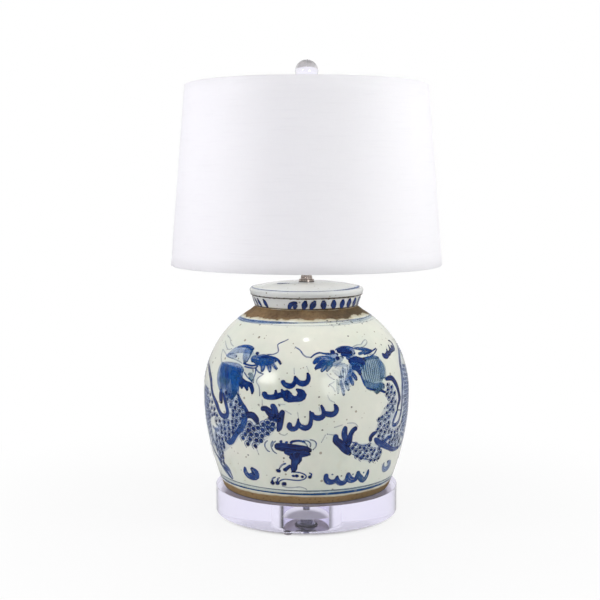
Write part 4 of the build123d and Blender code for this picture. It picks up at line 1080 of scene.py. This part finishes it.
# %% [markdown]
# ## Clouds, incense stand and pearls
# Between the dragons float clouds drawn as rows of hooks, above an incense stand with curls of smoke.
# Below are more clouds and a pearl on each side, and a flame cloud by the right dragon's mane. The clouds
# at the front differ from hook to hook, so their points are listed one by one.

# %% Clouds
sky_paint = Painting("clouds_and_stand", jar_wall)
for cloud in (
        [(-22.5, 222, 8), (-21.5, 217.5, 8), (-19, 216.5, 7), (-16, 218, 8), (-13, 221, 8), (-11, 221, 11)],
        [(-16, 220, 6), (-16.1, 226, 4.6)],
        [(-12, 222, 7), (-12.8, 228, 4.4)],
        [(-10.5, 225, 11), (-9.5, 218, 14), (-6, 215.5, 8), (-3.5, 217.5, 11), (-2.4, 222, 13),
         (-3.5, 227, 8), (-5, 229.5, 4)],
        [(-12.7, 241, 6), (-11.5, 236.5, 7), (-9, 234, 8), (-7, 236, 7), (-5.9, 242, 6), (-6, 247, 5)],
        [(-5.5, 246, 4.6), (-4.5, 240.5, 7), (-2, 238, 8), (0.3, 240, 7), (1.2, 246, 6.4), (0.8, 252, 5)],
        [(-8.4, 178, 7), (-8.9, 174, 8), (-7.5, 170.5, 8), (-5.4, 171.5, 7), (-4.4, 177, 6),
         (-4.2, 185, 3.6)],
        [(-4, 180, 4.6), (-3, 174.5, 7), (-0.5, 172, 8), (1.5, 175, 7), (2.3, 182, 6), (2.4, 191, 5.4),
         (1.9, 197, 3.6)],
        [(2.8, 195, 5.6), (3.4, 190, 7), (5.5, 187, 8), (7.8, 188, 8), (9, 192.5, 7), (8.6, 199, 5.6),
         (7.8, 205, 4.6)],
        [(9, 195, 6), (11, 192.5, 8), (13.5, 192, 8), (15.3, 195.5, 7.4), (15.6, 201, 7),
         (14.8, 206, 4.6)]):
    sky_paint.stroke(cloud, 0.84)
for wisp in ([(-6.8, 260), (-6.6, 252)], [(-4.5, 196), (-4.1, 188)], [(11, 221), (12, 214), (14.5, 210)],
             [(1.4, 255), (0.2, 262)], [(6.5, 203), (7, 198)]):
    line(sky_paint, wisp, 1.7, 0.28)
print("strokes so far:", sky_paint.count)

# %% The stand and the scroll under it
sky_paint.stroke([(-16.3, 142, 9), (-13, 141.5, 12), (-9, 141, 11), (-5, 140, 11), (-1, 139, 10),
                  (1.6, 137.5, 8)], 0.98)
sky_paint.stroke([(-11.3, 134, 7), (-8, 132.5, 10), (-4, 131.5, 11), (0, 132, 8), (1.3, 131.5, 6)], 0.9)
sky_paint.stroke([(-6, 128, 17), (-5.6, 122, 15), (-6.5, 116, 10), (-7, 108, 9), (-7.2, 104.5, 7)], 0.92)
sky_paint.stroke([(-9, 112, 5), (-10.5, 108.5, 5.5), (-12, 105.5, 6)], 0.85)
sky_paint.stroke([(-8.2, 148.5, 4.4), (-7.4, 151, 4), (-4, 152.3, 3.4), (-1, 150.5, 3)], 0.85)
for arc in ([(-3, 152), (-1.5, 150), (0, 147), (0.5, 144)],
            [(-1.5, 153), (0.8, 152), (2.2, 148), (2, 143)],
            [(2, 154), (4, 152.5), (5.2, 148.5), (5, 143), (3.6, 138.5)],
            [(-21, 150), (-22.5, 146), (-22.7, 140), (-21.5, 134.5), (-20.5, 133)],
            [(-18, 150), (-19, 146), (-19, 140), (-18, 134), (-16.5, 131)],
            [(-16.5, 150), (-17.8, 147), (-18.3, 142)]):
    line(sky_paint, arc, 2.2, 0.52, 0.15)
for degrees, height in ((-13.5, 150), (-10.5, 149)):
    sky_paint.dab(degrees, height, 5, 5, 0.7)
for degrees, height, wide, tall in (
        (-12, 105.3, 7, 6.5), (-16, 102.8, 7.5, 6.5), (-7.4, 95.7, 5, 4.4), (-5.5, 95.9, 6, 5.4),
        (-2.3, 94.7, 5.4, 5), (2, 94.2, 6, 6), (-20.3, 82, 7.4, 8), (-17.2, 82.4, 7.4, 8),
        (-13.2, 81.5, 8, 7.4)):
    sky_paint.dab(degrees, height, wide, tall, 0.95)
for tail in ([(-11.5, 115.5), (-13.5, 113), (-15.2, 107)], [(-20.5, 84), (-20, 89), (-18.5, 91.5)],
             [(-17.2, 85), (-16.8, 89), (-16, 91)], [(2.6, 95), (2.9, 99), (2, 100.5)]):
    line(sky_paint, tail, 2.8, 0.6)
line(sky_paint, [(-8.5, 102), (-5, 102), (-2.5, 100.5), (-0.3, 97), (-0.3, 93), (-2, 89.8), (-5, 88.5),
                 (-9, 89), (-12, 89.5), (-14.5, 88), (-16, 85)], 2.2, 0.62)
line(sky_paint, [(-14.5, 78), (-12, 76), (-9, 75.8), (-6, 77), (-4, 77.5), (-2, 76.5), (0, 74)], 1.8, 0.42)
print("strokes so far:", sky_paint.count)

# %% Pearls, the lower clouds and the flame cloud
sky_paint.stroke([(-37.8, 101, 5), (-38.2, 94, 8), (-36.5, 88, 9), (-33.5, 87, 10), (-31, 90, 11),
                  (-31.2, 96, 12), (-32.6, 100.5, 8)], 0.72)
sky_paint.stroke([(-35.5, 88.5, 5), (-33, 92, 8)], 0.7)
sky_paint.stroke([(51.8, 102, 4), (51.8, 96, 6), (53.5, 90.5, 8), (56.5, 89.5, 9), (59, 92, 9),
                  (58.6, 98, 9), (56, 102, 5)], 0.5, 0.1)
for bowl, hue in (
        ([(11.5, 97.5, 6), (11.4, 91, 8), (13, 85.5, 9), (15.5, 84.5, 8), (17.4, 87, 7),
          (18, 92.5, 5)], 0.0),
        ([(18, 91.5, 5), (18.8, 84.5, 8), (21, 81, 8), (23, 82, 8), (24, 87, 6), (24.2, 96, 3.6)], 0.0),
        ([(24.8, 96.5, 6), (25.3, 90, 10), (27, 85, 10), (29.5, 84, 8), (30.7, 86.5, 7),
          (31, 96, 4.6)], 0.08),
        ([(31.3, 97, 5.6), (32, 91, 8), (34, 85.5, 9), (36.5, 80.5, 8), (38, 85, 7), (38.7, 91, 6),
          (38.8, 96, 4.6)], 0.2)):
    sky_paint.stroke(bowl, 0.72, hue)
for degrees, height, hue in ((15, 97, 0.1), (28, 94, 0.4), (35.5, 94, 0.5)):
    sky_paint.dab(degrees, height, 3.4, 3, 0.6, hue)
sky_paint.stroke([(52.5, 271.5, 6), (53, 268.5, 8), (55, 267.5, 8), (57.5, 270, 8), (60, 271, 6.4),
                  (63, 273, 6.4), (66, 274, 7), (69, 274.8, 7), (71, 277, 6), (71.5, 282, 5),
                  (70, 286, 3.6), (68, 287, 2.6)], 0.88)
for nub in ([(58, 272, 4.6), (58.6, 276, 4)], [(63, 275, 5), (63.7, 280.5, 4)]):
    sky_paint.stroke(nub, 0.85)
for degrees, height in ((54.4, 268), (59, 270.4), (63.6, 273.6), (68, 277)):
    sky_paint.dab(degrees, height, 10, 8.6, 0.92)
for degrees, height in (
        (-25.5, 204), (-34, 123), (8.3, 168.5), (24, 201), (-12.3, 124), (-0.7, 189), (18, 246),
        (20.6, 93.5), (55.3, 284.5), (6.5, 218.5), (-34, 300), (30, 302), (-14, 205), (16, 72),
        (-40, 316), (46, 192), (-68, 260)):
    sky_paint.dab(degrees, height, 3.2, 2.8, 0.5, IRON_BROWN)
sky_paint.hang(cobalt)

# %% [markdown]
# ## The back of the jar and its ring lines
# The photograph doesn't show the back. Here each dragon's body runs on into a tail, with a hind leg below
# it, and rows of cloud hooks and a flaming pearl fill the rest, in the same hand. The right one's tail lies
# higher than the left one's, so one list of points serves both sides. The ring lines run right round,
# above the foot and under the shoulder, with a few scorched specks at the shoulder's right.

# %% Tails and hind legs
back = Painting("back_painting", jar_wall)


def around(side, drop, points):
    """The same points on the right (1) or the left (-1) side of the jar, lowered by so many mm."""
    return [(side * degrees, height - drop, width) for degrees, height, width in points]


for side, drop in ((1, 0), (-1, 31)):
    scaly(back, around(side, drop, [(82, 256, 18), (92, 267, 20), (104, 270, 18), (114, 262, 18),
                                    (122, 249, 16), (131, 241, 13), (142, 243, 9)]), 0.8)
    back.stroke(around(side, drop, [(92, 280, 5), (104, 282, 7), (115, 275, 7), (123, 262, 7),
                                    (131, 252, 6), (142, 250, 5), (153, 258, 3)]), 0.84)
    back.stroke(around(side, drop, [(100, 260, 6), (108, 258, 7), (114, 249, 7), (122, 236, 7),
                                    (131, 230, 6), (144, 235, 5), (153, 256, 3)]), 0.8)
    for fin in range(6):
        back.stroke(around(side, drop, [(150, 250 + fin, 4), (156 + 2 * fin, 258 + 3 * fin, 6),
                                        (157 + 3 * fin, 270 + 2 * fin, 2.4)]), 0.62)
    for spine in ((100, 284), (108, 283), (115, 278), (120, 271), (125, 263), (131, 256)):
        back.stroke(around(side, drop, [(*spine, 4), (spine[0] + 3, spine[1] + 7, 3)]), 0.7)
    low = drop / 4
    scaly(back, around(side, low, [(83, 170, 26), (91, 162, 28), (99, 149, 24), (106, 135, 18),
                                   (111, 124, 12)]), 0.85)
    back.stroke(around(side, low, [(80, 190, 6), (88, 186, 8), (97, 174, 8), (105, 157, 8), (111, 140, 7),
                                   (114, 129, 6)]), 0.86)
    back.stroke(around(side, low, [(79, 148, 6), (86, 145, 7), (93, 138, 7), (99, 126, 7),
                                   (104, 115, 6)]), 0.82)
    for claw in ([(110, 123, 9), (118, 125, 10), (124, 132, 8), (127, 141, 4)],
                 [(110, 120, 9), (119, 116, 10), (126, 117, 8), (131, 123, 4)],
                 [(109, 117, 9), (114, 108, 10), (120, 103, 8), (126, 105, 4)],
                 [(106, 117, 7), (103, 107, 8), (105, 98, 4)]):
        back.stroke(around(side, low, claw), 0.92)
print("strokes so far:", back.count)

# %% Clouds and the pearl at the back
HOOK_SPACING = 6.2


def hooks(paint, degrees, height, count, climb):
    """A row of cloud hooks, each thick at its bend, that climbs by so many mm from hook to hook."""
    for hook in range(count):
        turn, foot = degrees + HOOK_SPACING * hook, height + climb * hook
        paint.stroke([(turn - 3.2, foot + 8, 4.6), (turn - 2.3, foot + 2, 7), (turn, foot - 1, 8),
                      (turn + 2.1, foot + 3, 7.4), (turn + 2.9, foot + 10, 6),
                      (turn + 2.6, foot + 17 + 2 * (hook % 2), 3.8)], 0.84, 0.05)


for degrees, height, count, climb in (
        (138, 168, 4, 5), (86, 92, 3, -3), (134, 86, 4, 2), (116, 292, 3, -2), (150, 205, 3, 3),
        (100, 214, 3, 4), (-158, 150, 4, -5), (-98, 90, 3, 3), (-158, 92, 4, -2), (-124, 276, 4, 4),
        (-160, 184, 2, 4), (-106, 190, 2, -4), (-168, 284, 3, 3), (172, 118, 3, 2), (150, 294, 2, -2)):
    hooks(back, degrees, height, count, climb)
back.stroke([(180, 221, 4), (176.4, 218, 7), (174.8, 208, 8), (176.6, 198, 9), (180.2, 194, 9),
             (183.8, 198, 8), (185.2, 208, 8), (183.6, 217, 6), (181, 220, 4)], 0.86)
back.stroke([(178.4, 210, 5), (180, 204, 8), (182.4, 205, 5)], 0.6, 0.1)
for lean in (-9, -6, -3, 0, 3, 6, 9):
    back.stroke([(180 + lean * 0.8, 226 - abs(lean) * 2, 6),
                 (181.5 + lean * 1.1, 236 - abs(lean) * 1.6, 5.6),
                 (180.5 + lean * 1.1, 247 - abs(lean) * 1.2, 4.4),
                 (183 + lean * 1.3, 262 - abs(lean), 2)], 0.7)
back.hang(cobalt)

# %% Ring lines
rings = Painting("ring_lines", jar_wall)
ring(rings, 321.5, 2.6, 0.4, 0.2, 1.5)
ring(rings, 317.5, 1.8, 0.26, 0.25, 0.5)
rings.stroke([(28, 319.5, 2), (48, 320.5, 4.4), (68, 321.4, 5.4), (92, 322, 3)], 0.32, 0.3)
SPECKLES, SPECKLE_SIZE = 30, 1.2
SPECKLE_START, SPECKLE_SPAN, SPECKLE_FOOT, SPECKLE_RISE = 16, 54, 315, 9
scatter = random.Random(11)
for _ in range(SPECKLES):
    turn, rise, size = scatter.random(), scatter.random(), scatter.random()
    rings.dab(SPECKLE_START + SPECKLE_SPAN * turn, SPECKLE_FOOT + SPECKLE_RISE * rise,
              SPECKLE_SIZE + 2 * size, SPECKLE_SIZE + 1.4 * size, 0.28 + 0.3 * rise, IRON_BROWN)
rings.stroke([(-100, 319, 3), (-75, 318.5, 5), (-50, 319.5, 6), (-28, 320.5, 5), (-8, 321, 2)], 0.5, 0.1)
ring(rings, 65, 3.6, 0.72, 0.2, -0.5)
ring(rings, 70.5, 2.2, 0.5, 0.35, -1.5)
rings.stroke([(turn, 68, 6) for turn in FULL_TURN], 0.16, 0.4)
rings.hang(cobalt)

# %% [markdown]
# ## Painting on the lid
# A row of petals stands round the lid's collar, thick at one end as a loaded brush leaves them, with a few
# missing at the front left. A thin line runs round the top near its edge, and worn strokes lie inside it.
# Iron scorched the lip. That could be part of the glaze, but the same brush draws it as a brown line.

# %% Petals round the collar
PETAL_FOOT, PETAL_MIDDLE, PETAL_TIP = 340.5, 346, 351.6
LIP_HEIGHT = 356.4
collar = Painting("lid_petals", Wall(pieces["jar_lid"]))
front_petals = [(-68, 2.5, 5), (-60, 2.5, 5.5), (-48.5, 2.0, 6.5),
                (-2, -1, 7.5), (6.5, -1.8, 7.5), (18, 0.5, 8),
                (29.5, 0.8, 8), (40.5, 0.3, 8), (51, 0.3, 9), (62, 0.3, 9)]
back_petals = [(turn, 0.6, 8) for turn in range(74, 284, 12)]
for degrees, lean, width in front_petals + back_petals:
    collar.stroke([(degrees + lean, PETAL_FOOT, width * 0.62), (degrees, PETAL_MIDDLE, width * 1.12),
                   (degrees - lean, PETAL_TIP, width * 0.8)], 0.92, 0.05)
collar.stroke([(-18.5, 340.5, 5), (-16.5, 347, 6.5), (-11, 349.6, 6.5)], 0.9)
collar.stroke([(-13, 342, 5.4), (-10.6, 345, 5.4)], 0.84)
ring(collar, 356.6, 2, 0.5, IRON_BROWN, 0.2)
# A dark brown line at the collar's foot stands both for its bare clay edge and for painted shade in the
# joint where the lid sits on the jar.
ring(collar, 339.4, 1.7, 0.7, IRON_BROWN)
for turn in range(-84, 90, 7):
    collar.dab(turn + 2 * math.sin(turn), LIP_HEIGHT + 0.4 * math.sin(2 * turn), 4.5, 1.8, 0.75, IRON_BROWN)
collar.hang(cobalt)

# %% Lines on the lid's top
lid_top = Painting("lid_top_lines", Top(pieces["jar_lid"]))
lid_top.stroke([(-180, 84, 2), (-135, 86, 2), (-90, 87.4, 2.2), (-45, 88, 2.4), (0, 87.6, 2.4),
                (30, 86.4, 3), (60, 84.8, 4.4), (90, 83.6, 3), (135, 83, 2), (180, 84, 2)], 0.56, 0.08)
lid_top.stroke([(30, 86, 2), (50, 85, 4), (70, 84, 5), (88, 83.4, 3)], 0.5, 0.08)
lid_top.dab(-58, 47, 18, 14, 0.84, 0.15, 20)
lid_top.stroke([(-54, 45, 7), (-49, 43, 6), (-43, 41.5, 3)], 0.62, 0.2)
lid_top.stroke([(-50, 43, 4), (-38, 37, 3.4), (-24, 32, 2.4)], 0.5, 0.1)
lid_top.stroke([(110, 28, 4), (102, 42, 5), (95, 62, 3)], 0.3, 0.2)
lid_top.stroke([(118, 48, 6), (112, 60, 9), (104, 76, 6)], 0.2, IRON_BROWN)
lid_top.hang(cobalt)

# %% [markdown]
# ## Linen
# The shade's linen is plain woven, with threads of uneven thickness. Every thread could be modelled, but
# from here they are finer than a pixel. So two noises, stretched along and across the strip, stand for
# weft and warp, and a slower one for the slubs. They tint the white and raise a fine bump.

# %% Linen finish
FINE_THREADS, LONG_RUN = 1500, 60
SLUB_RUN, SLUB_THREADS = 14, 320


def threads(tree, strip, along, across):
    run = put(tree, "Mapping", Vector=strip)
    run.inputs["Scale"].default_value = (along, across, 1)
    return put(tree, "TexNoise", Vector=run.outputs[0], Scale=1.0, Detail=2.0).outputs["Fac"]


linen, tree, shader = new_finish("shade_linen")
strip = put(tree, "UVMap", uv_map="weave").outputs[0]
cross = calc(tree, "MAXIMUM", threads(tree, strip, LONG_RUN, FINE_THREADS),
             threads(tree, strip, FINE_THREADS, LONG_RUN))
slub = fade(tree, threads(tree, strip, SLUB_RUN, SLUB_THREADS), 0.5, 0.8)
white = mix_colours(tree, cross, tone(240, 239, 243), tone(247, 246, 249))
connect(tree, shader.inputs["Base Color"], tint(tree, white, slub, 0.35, tone(237, 236, 240)))
connect(tree, shader.inputs["Roughness"], fade(tree, cross, 0.2, 0.8, 0.95, 0.8))
shader.inputs["Sheen Weight"].default_value = 0.1
rise = calc(tree, "ADD", cross, calc(tree, "MULTIPLY", slub, 0.6))
bump = put(tree, "Bump", Strength=0.35, Distance=0.4 * MM, Height=rise)
connect(tree, shader.inputs["Normal"], bump.outputs[0])
print("linen nodes:", len(tree.nodes))

# %% [markdown]
# ## The shade's cloth
# A drum shade is one strip of linen, cut as a slice of a wide ring so that it wraps round a cone, glued
# to a stiff liner, turned in over the wire rings, and lapped at the back. A spun cone would have no seam.
# So a grid is that strip: its long side is wrapped once round, with a little overlap, and its short side
# follows a profile with a hem at each end.

# %% Measure the shade
HEM_DEPTH, HEM_TURN, LAP = 9, 6.2, 12
FOLD, BEND, BEND_RISE, WALL_EDGE = 1.2, 1, 0.2, 0.8
WALL_ROWS = 14
TOP_BAND = 1.5
shade_low, shade_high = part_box("shade_cover")
SHADE_BOTTOM, SHADE_TOP = shade_low.z / MM, shade_high.z / MM
WIDE_RADIUS = shade_high.x / MM
NARROW_RADIUS = max(v.co.to_2d().length for v in pieces["shade_cover"].data.vertices
                    if v.co.z > shade_high.z - TOP_BAND * MM) / MM
shade_height = SHADE_TOP - SHADE_BOTTOM
slope = (WIDE_RADIUS - NARROW_RADIUS) / shade_height


def hem(radius, height, inward):
    """The turn-in at one end, from its cut edge to the fold, where inward is 1 for up and -1 for down."""
    inner = radius - HEM_TURN
    return [(inner - inward * slope * HEM_DEPTH, height + inward * HEM_DEPTH),
            (inner, height + inward * FOLD), (inner + BEND, height + inward * BEND_RISE),
            (radius - FOLD, height)]


rises = [WALL_EDGE + (shade_height - 2 * WALL_EDGE) * row / WALL_ROWS for row in range(WALL_ROWS + 1)]
wall = [(WIDE_RADIUS - slope * rise, SHADE_BOTTOM + rise) for rise in rises]
low_hem, high_hem = hem(WIDE_RADIUS, SHADE_BOTTOM, 1), hem(NARROW_RADIUS, SHADE_TOP, -1)
profile = low_hem + wall + high_hem[::-1]
print("shade radii:", round(WIDE_RADIUS, 1), round(NARROW_RADIUS, 1), "mm")

# %% Wrap the cloth
ROUND_STEPS = 180
SEAM_START, SEAM_LIFT = 0.965, 0.7
CLOTH_THICKNESS = 0.5
lap_turn = LAP / WIDE_RADIUS
bm = bmesh.new()
weave_map = bm.loops.layers.uv.new("weave")
grid = bmesh.ops.create_grid(bm, x_segments=ROUND_STEPS, y_segments=len(profile) - 1, size=1)
flat_place = {}
for vert in grid["verts"]:
    row = round((vert.co.y + 1) / 2 * (len(profile) - 1))
    radius, height = profile[row]
    turn = vert.co.x * (math.pi + lap_turn / 2)
    up_the_strip = sum(math.dist(a, b) for a, b in zip(profile[:row], profile[1:]))
    flat_place[vert] = (turn * WIDE_RADIUS * MM, up_the_strip * MM)
    if profile[row] in wall:
        over = max(0.0, (vert.co.x - SEAM_START) / (1 - SEAM_START))
        radius += SEAM_LIFT * min(1.0, 2 * over)
    vert.co = Vector((radius * math.sin(turn), -radius * math.cos(turn), height)) * MM
for face in bm.faces:
    face.smooth = True
    for loop in face.loops:
        loop[weave_map].uv = flat_place[loop.vert]
bmesh.ops.recalc_face_normals(bm, faces=bm.faces[:])
if sum(face.normal.dot(face.calc_center_median()) for face in bm.faces) < 0:
    bmesh.ops.reverse_faces(bm, faces=bm.faces[:])
cloth_area = sum(face.calc_area() for face in bm.faces)
cloth = make_piece("shade_cloth", bm, linen)
thickness = cloth.modifiers.new("thickness", "SOLIDIFY")
thickness.thickness, thickness.offset = CLOTH_THICKNESS * MM, -1
print("cloth area:", round(cloth_area, 4), "square metres")

# %% Hang the cloth on the shade
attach(cloth, "shade")
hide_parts("shade_cover")
